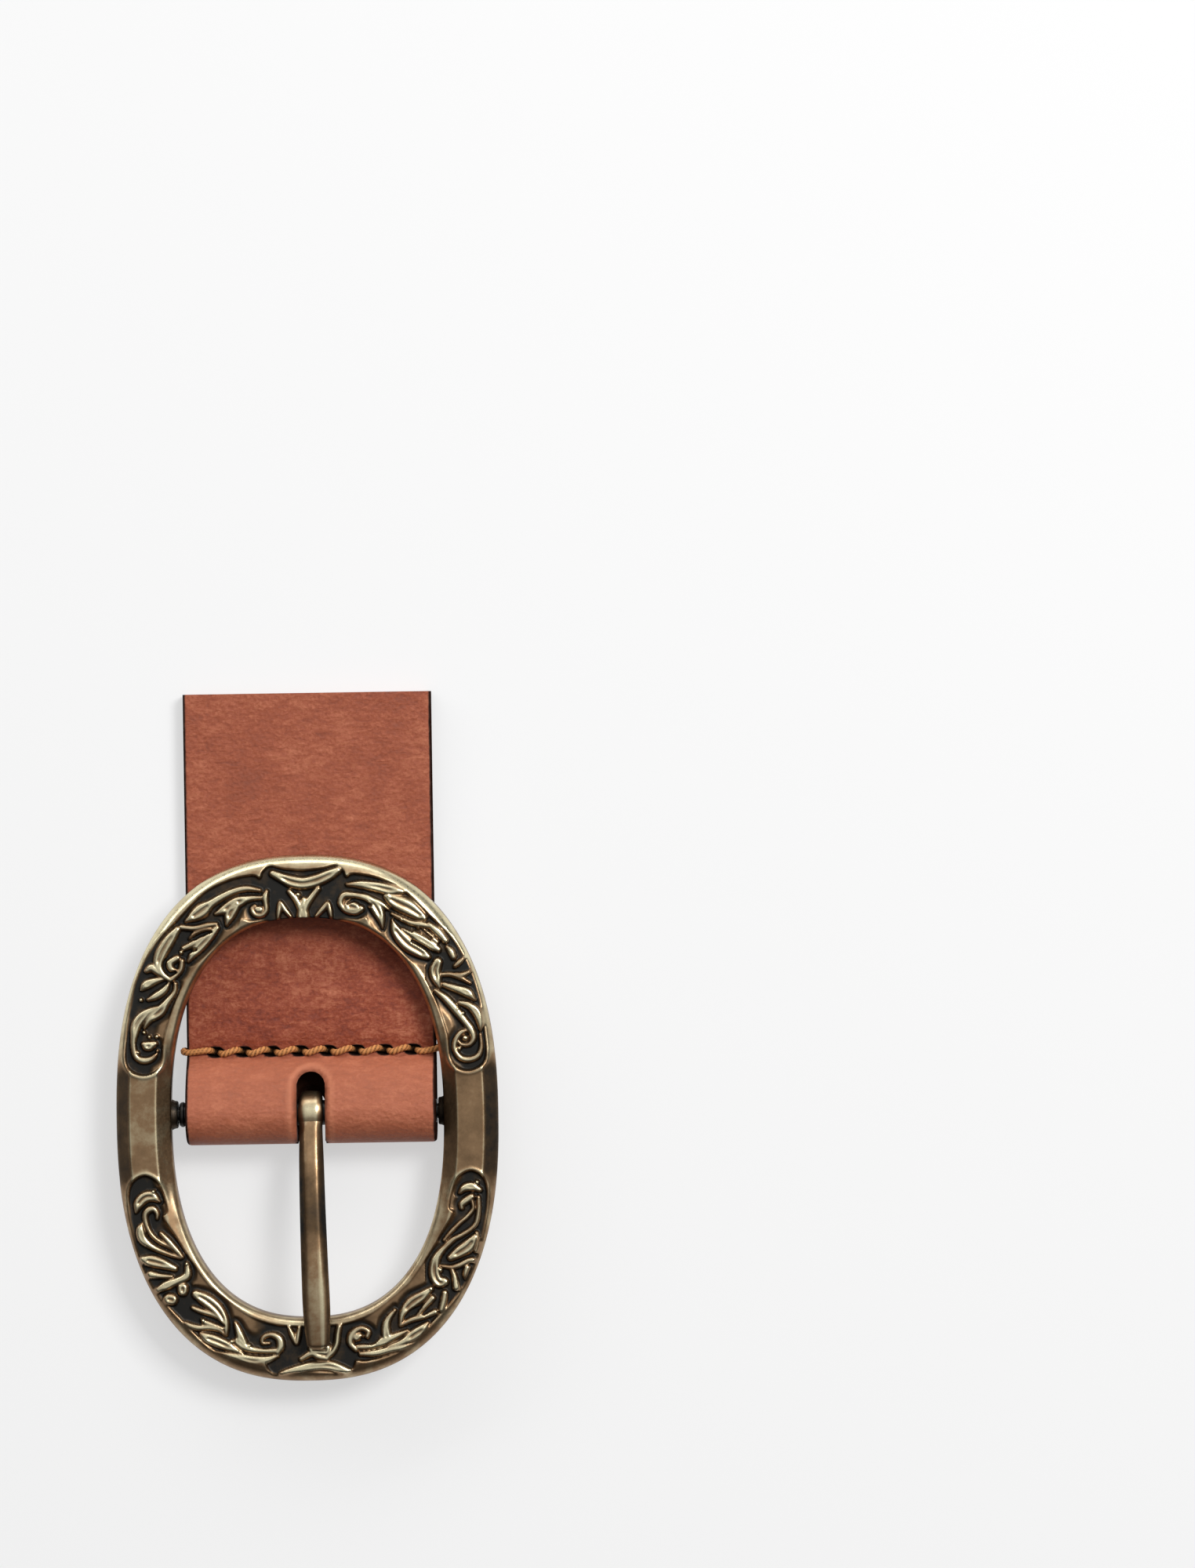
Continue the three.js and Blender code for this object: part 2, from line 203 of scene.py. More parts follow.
def sweep(sides, centres, ups, section, share_name):
    """Sweeps a closed section along a line and returns the bmesh.

    centres and ups hold one row for each station. section(station, angle) gives, for arrays of station
    numbers and angles, how far across and up each vertex lies from the centre, and a share stored under
    share_name.
    """
    bm, column, station = numbered_grid(sides, len(centres) - 1)
    angle = column % sides * (2 * math.pi / sides)
    forward = np.gradient(centres, axis=0)
    across = np.cross(forward, ups)
    across /= np.linalg.norm(across, axis=1, keepdims=True)
    above = np.cross(across, forward)
    above /= np.linalg.norm(above, axis=1, keepdims=True)
    side, height, shares = section(station, angle)
    place(bm, centres[station] + across[station] * side[:, None] + above[station] * height[:, None])
    store_shares(bm, share_name, shares)
    close_seams(bm)
    return bm


LATHE_STEPS = 64


def lathe_x(profile, steps):
    """Spins a profile of (x, radius), from axis to axis, about the X axis into a closed bmesh."""
    bm = bmesh.new()
    verts = [bm.verts.new((x, 0, radius)) for x, radius in profile]
    edges = [bm.edges.new(pair) for pair in zip(verts, verts[1:])]
    bmesh.ops.spin(
        bm,
        geom=verts + edges,
        cent=(0, 0, 0),
        axis=(1, 0, 0),
        angle=2 * math.pi,
        steps=steps,
        use_merge=True,
    )
    bmesh.ops.remove_doubles(bm, verts=bm.verts, dist=1e-4)
    bmesh.ops.recalc_face_normals(bm, faces=bm.faces)
    return bm


def add_piece(name, bm, body, material, sharp_angle=40):
    """Turns a bmesh in millimetres into a finished piece that rides on a body."""
    mesh = bpy.data.meshes.new(name)
    bm.to_mesh(mesh)
    bm.free()
    mesh.transform(Matrix.Scale(MM, 4))
    mesh.materials.append(material)
    mesh.shade_smooth()
    mesh.set_sharp_from_angle(angle=math.radians(sharp_angle))
    piece = bpy.data.objects.new(name, mesh)
    bpy.context.scene.collection.objects.link(piece)
    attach(piece, body)
    return piece


def mesh_points(mesh):
    """The vertices of a finished mesh, in millimetres."""
    points = np.empty(len(mesh.vertices) * 3, np.float32)
    mesh.vertices.foreach_get("co", points)
    return points.reshape(-1, 3).astype(float) / MM


def set_shares(mesh, name, shares):
    """Stores one number from 0 to 1 for each vertex, for a material to read."""
    layer = mesh.attributes.new(name, "FLOAT", "POINT")
    layer.data.foreach_set("value", np.clip(shares, 0, 1).astype(np.float32))


def step(low, high, value):
    """0 below low, 1 above high and a smooth rise between them."""
    share = np.clip((value - low) / (high - low), 0, 1)
    return share * share * (3 - 2 * share)


# Materials


def new_material(name):
    material = bpy.data.materials.new(name)
    material.use_nodes = True
    material.node_tree.nodes.clear()
    return material


def add_node(material, kind, settings=None, links=None):
    """Adds a shader node with its settings and input values, and links other nodes' outputs to it."""
    node = material.node_tree.nodes.new("ShaderNode" + kind)
    for key, value in (settings or {}).items():
        if isinstance(key, int) or key in node.inputs:
            node.inputs[key].default_value = value
        else:
            setattr(node, key, value)
    for key, output in (links or {}).items():
        material.node_tree.links.new(output, node.inputs[key])
    return node


def ramp(material, source, *stops):
    """Turns a number into a colour through (place, colour) stops."""
    node = add_node(material, "ValToRGB", links={"Fac": source})
    elements = node.color_ramp.elements
    while len(elements) < len(stops):
        elements.new(0.5)
    for element, (where, tone) in zip(elements, stops):
        element.position = where
        element.color = (*tone, 1)
    return node.outputs["Color"]


def per_mm(size):
    """Scale of a texture whose features are about this many millimetres apart."""
    return 1 / (size * MM)


def antique_brass(settings):
    """Antique brass: cast brass, blackened in a sulphur bath and brushed back, so that the high spots are
    a soft gold and the hollows stay a cool near-black. Fine brushing spreads the gloss. The tone follows a
    share per vertex that also holds painted highlights and painted shade.
    """
    material = new_material("antique_brass_brushed_back")
    place_on = add_node(material, "TexCoord").outputs["Object"]
    wear_and_painted_light = add_node(material, "Attribute", {"attribute_name": "wear_and_painted_light"}).outputs["Fac"]
    clouds = add_node(
        material, "TexNoise", {"Scale": per_mm(3.5), "Detail": 5, "Roughness": 0.65}, {"Vector": place_on}
    ).outputs["Fac"]
    cloud_shift = add_node(
        material,
        "MapRange",
        {"From Min": 0.3, "From Max": 0.7, "To Min": -0.13, "To Max": 0.13},
        {"Value": clouds},
    ).outputs["Result"]
    mottled_wear_and_painted_light = add_node(
        material, "Math", {"operation": "ADD", "use_clamp": True}, {0: wear_and_painted_light, 1: cloud_shift}
    ).outputs[0]
    # The same tones paint highlights towards brass and shade towards patina.
    tone = ramp(
        material,
        mottled_wear_and_painted_light,
        (0.0, settings.patina),
        (0.28, [0.4 * v for v in settings.olive]),
        (0.55, settings.olive),
        (0.95, settings.brass),
    )
    grit = add_node(
        material, "TexNoise", {"Scale": per_mm(0.35), "Detail": 3, "Roughness": 0.6}, {"Vector": place_on}
    ).outputs["Fac"]
    gloss = add_node(
        material,
        "MapRange",
        {"From Min": 0.0, "From Max": 1.0, "To Min": 0.52, "To Max": 0.27},
        {"Value": mottled_wear_and_painted_light},
    ).outputs["Result"]
    gloss_shift = add_node(
        material,
        "MapRange",
        {"From Min": 0.3, "From Max": 0.7, "To Min": -0.05, "To Max": 0.05},
        {"Value": grit},
    ).outputs["Result"]
    roughness = add_node(material, "Math", {"operation": "ADD"}, {0: gloss, 1: gloss_shift}).outputs[0]
    bump = add_node(
        material, "Bump", {"Strength": 0.12, "Distance": 0.02 * MM}, {"Height": grit}
    ).outputs["Normal"]
    shader = add_node(
        material,
        "BsdfPrincipled",
        {"Metallic": 1},
        {"Base Color": tone, "Roughness": roughness, "Normal": bump},
    )
    add_node(material, "OutputMaterial", links={"Surface": shader.outputs[0]})
    return material


def gunmetal_steel(settings):
    """Gunmetal plated steel: turned rod with a thin dark nickel coat and faint rings from the lathe."""
    material = new_material("gunmetal_plated_steel")
    place_on = add_node(material, "TexCoord").outputs["Object"]
    rings = add_node(
        material,
        "TexWave",
        {"wave_type": "BANDS", "bands_direction": "X", "Scale": per_mm(3.0), "Distortion": 1.5, "Detail": 2},
        {"Vector": place_on},
    ).outputs["Fac"]
    tone = ramp(material, rings, (0.0, [0.8 * v for v in settings.gunmetal]), (1.0, settings.gunmetal))
    roughness = add_node(
        material, "MapRange", {"To Min": 0.32, "To Max": 0.46}, {"Value": rings}
    ).outputs["Result"]
    bump = add_node(
        material, "Bump", {"Strength": 0.2, "Distance": 0.02 * MM}, {"Height": rings}
    ).outputs["Normal"]
    shader = add_node(
        material,
        "BsdfPrincipled",
        {"Metallic": 1},
        {"Base Color": tone, "Roughness": roughness, "Normal": bump},
    )
    add_node(material, "OutputMaterial", links={"Surface": shader.outputs[0]})
    return material


def tan_leather(settings):
    """Full-grain vegetable-tanned leather: drum-dyed terracotta, so the dye lies in soft clouds, with
    pores and fine creases across the strap, a waxed half gloss, and edges dyed dark and burnished. Painted
    highlights lighten the fold and the slot's lip, and the edge colour also paints shade in the stitch holes,
    the slot and under the fold.
    """
    material = new_material("vegetable_tanned_leather")
    place_on = add_node(material, "TexCoord").outputs["Object"]
    edge = add_node(material, "Attribute", {"attribute_name": "edge"}).outputs["Fac"]
    painted_highlight = add_node(material, "Attribute", {"attribute_name": "painted_highlight"}).outputs["Fac"]
    clouds = add_node(
        material, "TexNoise", {"Scale": per_mm(9), "Detail": 6, "Roughness": 0.6}, {"Vector": place_on}
    ).outputs["Fac"]
    across = add_node(
        material, "Mapping", {"Scale": (0.42, 1, 1), "Rotation": (0, 0, 0.35)}, {"Vector": place_on}
    ).outputs["Vector"]
    creases = add_node(
        material,
        "TexNoise",
        {"Scale": per_mm(1.1), "Detail": 8, "Roughness": 0.8, "Distortion": 0.6},
        {"Vector": across},
    ).outputs["Fac"]
    grain = add_node(
        material, "TexVoronoi", {"Scale": per_mm(0.7), "Randomness": 1}, {"Vector": place_on}
    ).outputs["Distance"]
    fine = add_node(
        material, "TexNoise", {"Scale": per_mm(0.6), "Detail": 4, "Roughness": 0.75}, {"Vector": place_on}
    ).outputs["Fac"]
    speckled = add_node(material, "Math", {"operation": "MULTIPLY", 1: 0.26}, {0: fine}).outputs[0]
    mottled = add_node(
        material, "Math", {"operation": "MULTIPLY_ADD", 1: 0.49}, {0: creases, 2: speckled}
    ).outputs[0]
    blotch = add_node(
        material, "Math", {"operation": "MULTIPLY_ADD", 1: 0.25}, {0: clouds, 2: mottled}
    ).outputs[0]
    dye = ramp(
        material,
        blotch,
        (0.4, settings.leather_dark),
        (0.5, settings.leather),
        (0.64, settings.leather_light),
    )
    # Painted highlights mix the light leather colour in round the slot's lip, over the fold and on the strap
    # towards the ring's top.
    dye_with_painted_highlight = add_node(
        material,
        "Mix",
        {"data_type": "RGBA", 7: (*settings.leather_light, 1)},
        {0: painted_highlight, 6: dye},
    ).outputs[2]
    edge_noise = add_node(
        material, "TexNoise", {"Scale": per_mm(1.6), "Detail": 4}, {"Vector": place_on}
    ).outputs["Fac"]
    edge_shift = add_node(
        material,
        "MapRange",
        {"From Min": 0.3, "From Max": 0.7, "To Min": -0.12, "To Max": 0.12},
        {"Value": edge_noise},
    ).outputs["Result"]
    dye_and_shade_sum = add_node(material, "Math", {"operation": "ADD"}, {0: edge, 1: edge_shift}).outputs[0]
    dye_and_shade_share = add_node(
        material,
        "MapRange",
        {"From Min": 0.25, "From Max": 0.75, "To Min": 0, "To Max": 1},
        {"Value": dye_and_shade_sum},
    ).outputs["Result"]
    # The edge colour is both the burnished edge dye and painted shade in the holes, the slot and under the
    # fold.
    tone = add_node(
        material,
        "Mix",
        {"data_type": "RGBA", 7: (*settings.edge, 1)},
        {0: dye_and_shade_share, 6: dye_with_painted_highlight},
    ).outputs[2]
    grain_roughness = add_node(
        material,
        "MapRange",
        {"From Min": 0.3, "From Max": 0.7, "To Min": 0.42, "To Max": 0.6},
        {"Value": creases},
    ).outputs["Result"]
    roughness = add_node(
        material, "Mix", {"data_type": "FLOAT", 3: 0.85}, {0: dye_and_shade_share, 2: grain_roughness}
    ).outputs[0]
    pores = add_node(
        material, "Bump", {"Strength": 0.7, "Distance": 0.12 * MM}, {"Height": grain}
    ).outputs["Normal"]
    bump = add_node(
        material, "Bump", {"Strength": 1.0, "Distance": 0.2 * MM}, {"Height": creases, "Normal": pores}
    ).outputs["Normal"]
    waxed = add_node(
        material,
        "BsdfPrincipled",
        {"Metallic": 0, "IOR": 1.48, "Specular IOR Level": 0.36},
        {"Base Color": tone, "Roughness": roughness, "Normal": bump},
    ).outputs[0]
    matt = add_node(material, "BsdfDiffuse", {"Color": (*settings.edge, 1)}).outputs[0]
    # The dye soaks into the cut fibres, so the heart of a dyed edge has no gloss. The stitch holes and the
    # slot's inner walls get the same matt dark as painted shade.
    matt_dye_and_shade = add_node(
        material, "MapRange", {"From Min": 0.75, "From Max": 0.95}, {"Value": dye_and_shade_sum}
    ).outputs["Result"]
    shader = add_node(material, "MixShader", links={0: matt_dye_and_shade, 1: waxed, 2: matt})
    add_node(material, "OutputMaterial", links={"Surface": shader.outputs[0]})
    return material


def waxed_linen(settings):
    """Waxed linen thread: three plies of dyed flax laid together, with painted shade between the plies and
    where the thread dips into the holes.
    """
    material = new_material("waxed_linen_thread")
    place_on = add_node(material, "TexCoord").outputs["Object"]
    groove = add_node(material, "Attribute", {"attribute_name": "groove"}).outputs["Fac"]
    fibres = add_node(
        material, "TexNoise", {"Scale": per_mm(0.3), "Detail": 4, "Roughness": 0.7}, {"Vector": place_on}
    ).outputs["Fac"]
    shade = add_node(
        material,
        "MapRange",
        {"From Min": 0.3, "From Max": 0.7, "To Min": -0.25, "To Max": 0.25},
        {"Value": fibres},
    ).outputs["Result"]
    depth = add_node(
        material, "Math", {"operation": "ADD", "use_clamp": True}, {0: groove, 1: shade}
    ).outputs[0]
    # Darker copies of the thread colour paint the shade between the plies and inside the holes.
    tone = ramp(
        material,
        depth,
        (0.0, settings.waxed_thread),
        (0.5, [0.62 * v for v in settings.waxed_thread]),
        (1.0, [0.06 * v for v in settings.waxed_thread]),
    )
    bump = add_node(
        material, "Bump", {"Strength": 0.5, "Distance": 0.06 * MM}, {"Height": fibres}
    ).outputs["Normal"]
    shader = add_node(
        material,
        "BsdfPrincipled",
        {"Metallic": 0, "IOR": 1.5, "Roughness": 0.7, "Specular IOR Level": 0.15},
        {"Base Color": tone, "Normal": bump},
    )
    add_node(material, "OutputMaterial", links={"Surface": shader.outputs[0]})
    return material


def glowing_floor_material(settings):
    """Opal acrylic: a satin sheet that glows evenly by itself, so that shadows on it stay pale."""
    material = new_material("glowing_opal_acrylic")
    shader = add_node(
        material,
        "BsdfPrincipled",
        {
            "Base Color": (*settings.floor, 1),
            "Roughness": 0.9,
            "Specular IOR Level": 0.2,
            # Painted light: the sheet's own glow fills the shadows on it.
            "Emission Color": (1, 1, 1, 1),
            "Emission Strength": 0.52,
        },
    )
    add_node(material, "OutputMaterial", links={"Surface": shader.outputs[0]})
    return material


# Relief of the frame. Each stroke is a list of (x, y, width) from the middle of the oval.

CENTRE_TOP = [
    [(-4.8, 39.1, 1), (-3.5, 38.5, 1.3), (-1.8, 37.8, 1.7), (0, 37.5, 1.7), (2, 37.9, 1.7),
     (4, 38.7, 1.5), (5.6, 39.5, 1)],
    [(-2.2, 36.2, 0.8), (-1.2, 35, 0.9), (-0.6, 33.8, 1), (-0.1, 32.3, 0.9)],
    [(2.4, 36.6, 0.8), (1.4, 35.4, 0.9), (0.4, 34, 1.1), (0, 32.3, 0.9)],
    [(0.1, 34.9, 0.8), (-0.1, 33.2, 1.5), (-0.1, 32.2, 1.8)],
    [(2, 32.2, 0.5), (3.1, 33.4, 0.8), (3.9, 34.3, 0.6), (4.2, 33.2, 0.8), (4.4, 32.1, 0.5)],
    [(-2, 32.2, 0.5), (-3, 33.4, 0.8), (-3.7, 34.5, 0.6), (-3.9, 33.2, 0.8), (-4.1, 32, 0.5)],
]
TOP_RIGHT = [
    [(9.2, 33.3, 1), (8.2, 32.7, 0.8), (6.7, 33.1, 0.8), (5.9, 34.3, 0.9), (6.5, 35.5, 1), (8, 35.5, 0.9)],
    [(7.4, 33.7, 1.9), (8.3, 33.5, 1.4)],
    [(6.6, 35.6, 0.8), (8.6, 35.4, 0.9), (10.4, 34.8, 1.2), (11.6, 33.4, 1.7), (12.3, 31.8, 1.2),
     (12.6, 30.1, 0.3)],
    [(11, 34.6, 1), (12.4, 34, 0.9), (13.6, 33.1, 0.4)],
    [(7, 37.2, 0.5), (9, 37.2, 1.1), (11.5, 36.8, 1.4), (13.6, 36.3, 1.5), (15.8, 36, 0.9)],
    [(13.2, 35.2, 0.8), (14.8, 34.3, 2), (16.8, 33.3, 2.2), (18.6, 32.1, 1.4), (19.5, 31.7, 0.6)],
    [(14.1, 32.4, 0.5), (15.5, 31.7, 0.7), (17.2, 30.9, 0.8), (19, 30.6, 0.9), (20.6, 30.2, 0.7)],
    [(14.2, 31.4, 0.5), (14.8, 29.6, 1.5), (16.4, 27.7, 2), (18.2, 26.5, 1.8), (19.7, 25.5, 1)],
    [(16, 30, 0.8), (18.2, 28.6, 1.3), (20.4, 27.2, 1.3), (21.4, 26.6, 0.9)],
    [(18.2, 30.2, 0.5), (19.8, 29, 0.8), (21.2, 27.8, 0.7)],
    [(20, 30.6, 0.8), (21.4, 29.4, 1.2), (22.6, 28, 0.9)],
    [(23.8, 25.4, 0.9), (23.4, 26.3, 1), (22.8, 27, 0.5)],
    [(24, 23.9, 0.6), (24.7, 24.5, 0.8), (25.4, 25.2, 0.4)],
    [(24, 22.6, 0.6), (25.2, 22.5, 0.8), (26.3, 23, 0.5)],
    [(21.3, 24.6, 1.3), (20.8, 23.2, 1.6), (21.1, 21.8, 1.3), (21.5, 20.6, 0.6)],
    [(21.9, 22.6, 0.6), (23.4, 22.6, 0.7), (25, 22, 0.7), (26.4, 21.2, 0.5)],
    [(22.2, 21, 0.8), (24.2, 20.3, 1.1), (26, 19.6, 1.3), (27.1, 18.5, 0.5)],
    [(20.8, 20.1, 0.6), (22.4, 18.8, 1.1), (24, 17, 1.2), (25.4, 15.2, 1.1), (26.4, 13.8, 1.1),
     (26.8, 12.4, 0.9),
     (26.1, 11.4, 0.7), (24.9, 11.4, 0.6), (24.3, 12, 0.5)],
    [(26, 13.7, 0.4), (24.8, 13.3, 0.8), (23.9, 12, 0.8), (23.8, 10.6, 0.8), (24.7, 9.3, 0.9), (26.1, 9, 0.9),
     (27.5, 9.6, 0.8), (28, 11, 0.6), (27.9, 13, 0.4)],
    [(24.6, 18.1, 0.6), (26.2, 17.6, 1.1), (27.4, 16.4, 1.3), (27.9, 14.8, 1), (27.9, 13.6, 0.4)],
]
TOP_LEFT = [
    [(-5.8, 36.3, 0.6), (-6.1, 35.4, 1), (-6, 34.4, 0.8), (-6, 33.2, 0.8), (-6.8, 32.5, 0.8),
     (-7.8, 32.7, 0.8),
     (-8.2, 33.5, 0.7), (-7.7, 34.1, 0.4)],
    [(-7.3, 33.4, 1.1), (-6.9, 33.4, 1.1)],
    [(-6.9, 36.5, 0.6), (-9, 36.8, 0.9), (-11, 36.4, 1), (-13, 35.5, 1.1), (-15, 34.3, 1.3), (-16.5, 33.2, 2),
     (-18.8, 31.7, 0.5)],
    [(-6.6, 35.3, 0.6), (-8.6, 35.2, 0.9), (-10.6, 34.6, 1.6), (-12.4, 33.6, 1.4), (-14.1, 32.8, 0.4)],
    [(-10.8, 34.2, 1.4), (-11.7, 32.8, 1.6), (-12.3, 31, 0.5)],
    [(-13.9, 31.2, 0.6), (-15.5, 31, 0.8), (-17.5, 30.6, 0.8), (-19.5, 30.8, 0.8)],
    [(-14.2, 30.2, 0.5), (-15.6, 30.4, 0.6), (-17.2, 29.9, 0.6), (-18.4, 29, 0.5)],
    [(-13.8, 30.6, 0.8), (-15, 29.3, 1.3), (-16.6, 27.7, 1.5), (-17.6, 26.6, 1.2), (-18.5, 25.3, 0.5)],
    [(-16.2, 29, 0.8), (-17.6, 28.2, 0.9), (-19.2, 27.4, 0.8)],
    [(-20.2, 30.4, 1), (-21.6, 28.6, 1.6), (-22.8, 26.6, 1.7), (-23.3, 24.8, 1.3), (-22.6, 23.3, 1),
     (-21.4, 22.4, 0.8)],
    [(-20.2, 25.9, 0.9), (-21.4, 25.2, 1.2), (-21.3, 24.2, 1), (-20.6, 24, 0.6)],
    [(-19.5, 25.4, 0.8), (-19.8, 23.9, 0.8), (-21.2, 22.5, 0.8)],
    [(-25.2, 23.9, 0.7), (-24.3, 24.4, 1.2), (-23.2, 23.6, 1), (-22.2, 22.9, 0.6)],
    [(-22.4, 22.6, 0.5), (-23.8, 22.3, 1), (-25.2, 21.7, 1.3), (-26, 20.9, 0.5)],
    [(-21.7, 21.9, 0.6), (-22.4, 20.8, 1), (-23.7, 19.9, 1.1), (-25, 19.3, 0.6)],
    [(-20.6, 21.8, 0.6), (-20.8, 20.4, 0.7), (-22, 18.9, 1), (-23.2, 17.4, 1.5), (-24.8, 16.2, 1.1),
     (-25.7, 14.8, 0.4)],
    [(-22.6, 18.2, 0.5), (-24.5, 17.6, 1), (-26, 16.6, 1.4), (-27, 15.2, 1.4), (-27.3, 13.4, 1.1),
     (-27.4, 11.6, 0.9),
     (-27, 10.2, 0.9), (-25.8, 9.6, 1), (-24.4, 10, 0.8), (-23.6, 11.2, 0.4)],
    [(-25.8, 12.2, 0.8), (-25.1, 11.9, 1.4), (-24, 12.3, 0.8)],
]
CENTRE_BOTTOM = [
    [(-4.7, -40.7, 0.8), (-3.5, -40.4, 1.1), (-2, -40, 1.2), (0, -39.6, 1.3), (1.5, -39.5, 1.3),
     (3, -39.5, 1.4),
     (4.5, -39.9, 1.3), (6.2, -40.5, 0.9)],
    [(4.7, -33, 0.8), (4.4, -34.5, 0.9), (4.2, -36, 0.9), (3.6, -37.2, 0.9), (2.6, -38.2, 0.8)],
    [(2.6, -38.3, 0.9), (1.3, -38, 1), (0.2, -37.5, 1), (-1.5, -38.4, 0.7)],
    [(0.4, -36.8, 1.4), (2.4, -36.9, 1.8)],
    [(-3.4, -33.2, 0.5), (-2.8, -34.6, 0.8), (-2.2, -35.9, 0.6), (-1.9, -34.6, 0.8), (-1.6, -33.2, 0.5)],
]
BOTTOM_RIGHT = [
    [(9.1, -34.9, 0.8), (9.3, -34.1, 0.8), (8.1, -33.6, 0.8), (6.7, -34.5, 1.1), (6.4, -35.9, 1),
     (7.3, -37, 0.8)],
    [(7.4, -35, 1.3), (7.9, -34.9, 1.1)],
    [(7.6, -36.6, 0.8), (9.5, -36.5, 0.9), (11.5, -35.8, 1.3), (13.5, -35, 1), (15.6, -34.1, 0.4)],
    [(12.2, -35, 1.4), (12.1, -33.4, 1.2), (12.5, -32.2, 0.9), (13.6, -30.8, 0.5)],
    [(8, -37.7, 0.7), (10.5, -37.6, 1), (13, -37, 1), (15, -36.7, 0.9), (16.4, -36.3, 0.4)],
    [(12.5, -36.7, 0.6), (14.8, -35.9, 1), (16.4, -34.9, 1.5), (17.8, -34, 1.4), (18.8, -32.9, 0.5)],
    [(14.4, -33.2, 0.5), (14.9, -31.3, 1.1), (16.3, -29.7, 1.7), (18, -28.6, 1.4), (19.4, -27.5, 0.8)],
    [(14.4, -33.3, 0.5), (16.2, -32.4, 0.8), (18, -31.9, 0.9), (20, -31.2, 0.8)],
    [(17.2, -31.8, 0.5), (18.2, -30.5, 0.7), (19.6, -29, 0.9)],
    [(21.6, -28.2, 0.9), (21.4, -29.4, 1), (21, -30.8, 0.9)],
    [(23.4, -19.6, 0.5), (21.4, -21.2, 0.9), (20.2, -23, 1.3), (20, -25, 1.6), (20.6, -26.4, 1.6),
     (21.6, -26.4, 1.2)],
    [(26.1, -13.2, 0.6), (26.3, -14.8, 0.6), (25.4, -16, 0.6), (24, -17.2, 0.6), (22.6, -18.6, 0.6),
     (21.6, -19.8, 0.5)],
    [(27.2, -13, 0.6), (27.2, -15, 0.7), (26.8, -17, 0.7), (26, -18, 0.7), (24.4, -19, 0.7),
     (22.8, -19.8, 0.7),
     (21.4, -21, 0.6)],
    [(24.2, -12.3, 0.5), (25, -11.5, 1.1), (26.2, -11.3, 1.3), (27.4, -11.8, 0.8)],
    [(26.1, -12.9, 1), (25.2, -13.5, 1.1), (24.5, -14.1, 0.9), (24.5, -14.7, 0.7)],
    [(22.6, -22.6, 1), (24, -21.7, 1.6), (25.4, -20.8, 1.8), (26.5, -19.4, 1)],
    [(26.8, -18.7, 0.6), (27, -20.2, 0.6), (26.6, -21.6, 0.6)],
    [(21.2, -23.9, 0.5), (22.8, -24.1, 0.7), (24.2, -23.7, 0.8), (25.4, -23.1, 0.8), (26.2, -23, 0.8)],
    [(25.2, -24.2, 0.9), (24.9, -25.2, 0.8), (24.8, -26, 0.3)],
    [(22.8, -24.5, 0.7), (23.2, -25.8, 0.9), (23.4, -27.3, 1.1)],
]
BOTTOM_LEFT = [
    [(-6.5, -35.8, 0.5), (-7.6, -35.7, 0.6), (-7.4, -34.8, 0.7), (-6.2, -34.4, 0.8), (-5, -35, 1.1),
     (-4.7, -36.2, 1.2),
     (-5.2, -37.2, 0.9)],
    [(-5, -37, 0.8), (-7, -37, 0.8), (-9, -36.8, 0.9), (-10.4, -36.3, 1.2), (-11.4, -35.4, 1.4)],
    [(-10.8, -35.8, 1.5), (-11.2, -34.4, 1.2), (-11.6, -33.2, 0.9), (-11.9, -32.4, 0.5)],
    [(-5.2, -37.8, 0.5), (-7, -38.4, 1.1), (-9, -38.5, 1.4), (-11, -38.1, 1.3), (-13, -37.7, 1),
     (-14.9, -37.2, 0.5)],
    [(-10.8, -37.4, 0.5), (-12.8, -36.3, 1.3), (-14.8, -35.4, 1.6), (-16.3, -34.8, 1.4), (-17.4, -34.1, 0.6)],
    [(-18.1, -27.8, 1.2), (-16.4, -28.8, 1.8), (-14.8, -30.2, 1.8), (-13.8, -31.8, 1.4),
     (-13.4, -33.2, 1), (-13.4, -34.4, 0.5)],
    [(-19.8, -32.5, 0.8), (-18, -33.1, 0.9), (-16, -33.1, 0.9), (-14.4, -33.5, 0.8), (-13.6, -34.4, 0.4)],
    [(-17.4, -32, 0.8), (-15.4, -32.8, 0.8), (-14, -33.3, 0.7)],
    [(-18.6, -30, 0.8), (-17, -30.6, 0.8), (-15.2, -31.2, 0.8), (-13.9, -32.2, 0.7)],
    [(-20.2, -27.2, 1.5), (-20.2, -26.8, 1.6)],
    [(-22.4, -28.5, 1.6), (-21.9, -28.6, 1.6)],
    [(-19.4, -23.2, 0.8), (-19.5, -24.8, 1.2), (-21, -25.6, 1.1), (-22.8, -26.3, 1.3), (-24.2, -27, 0.9)],
    [(-21.9, -24.9, 0.5), (-23.6, -24.8, 0.8), (-25.3, -24.5, 1.1)],
    [(-21.4, -23.6, 0.9), (-23.2, -22.9, 1.4), (-25, -22.4, 1.7), (-26.4, -22.1, 1)],
    [(-20.4, -22, 0.5), (-22.6, -21.2, 0.7), (-24.8, -20.2, 0.9), (-26.4, -18.9, 1.3),
     (-26.8, -17.4, 1.2), (-26.6, -16.4, 0.4)],
    [(-20.4, -21.7, 0.5), (-22, -20.3, 0.6), (-23.6, -19.4, 0.7), (-25, -18.2, 0.7), (-25.8, -16.6, 0.8),
     (-26, -15, 0.9),
     (-25.4, -14.2, 1), (-24.6, -14.1, 0.9), (-24.1, -14.8, 0.7), (-24.1, -15.6, 0.5)],
    [(-23.5, -18, 0.7), (-22.4, -19.2, 0.9), (-21.2, -20.6, 0.9), (-20.2, -21.8, 0.6)],
    [(-23.7, -12.9, 0.5), (-24.8, -12.1, 1.4), (-26, -12.2, 1.6), (-27, -13.2, 1.4), (-27.4, -14.5, 0.5)],
]
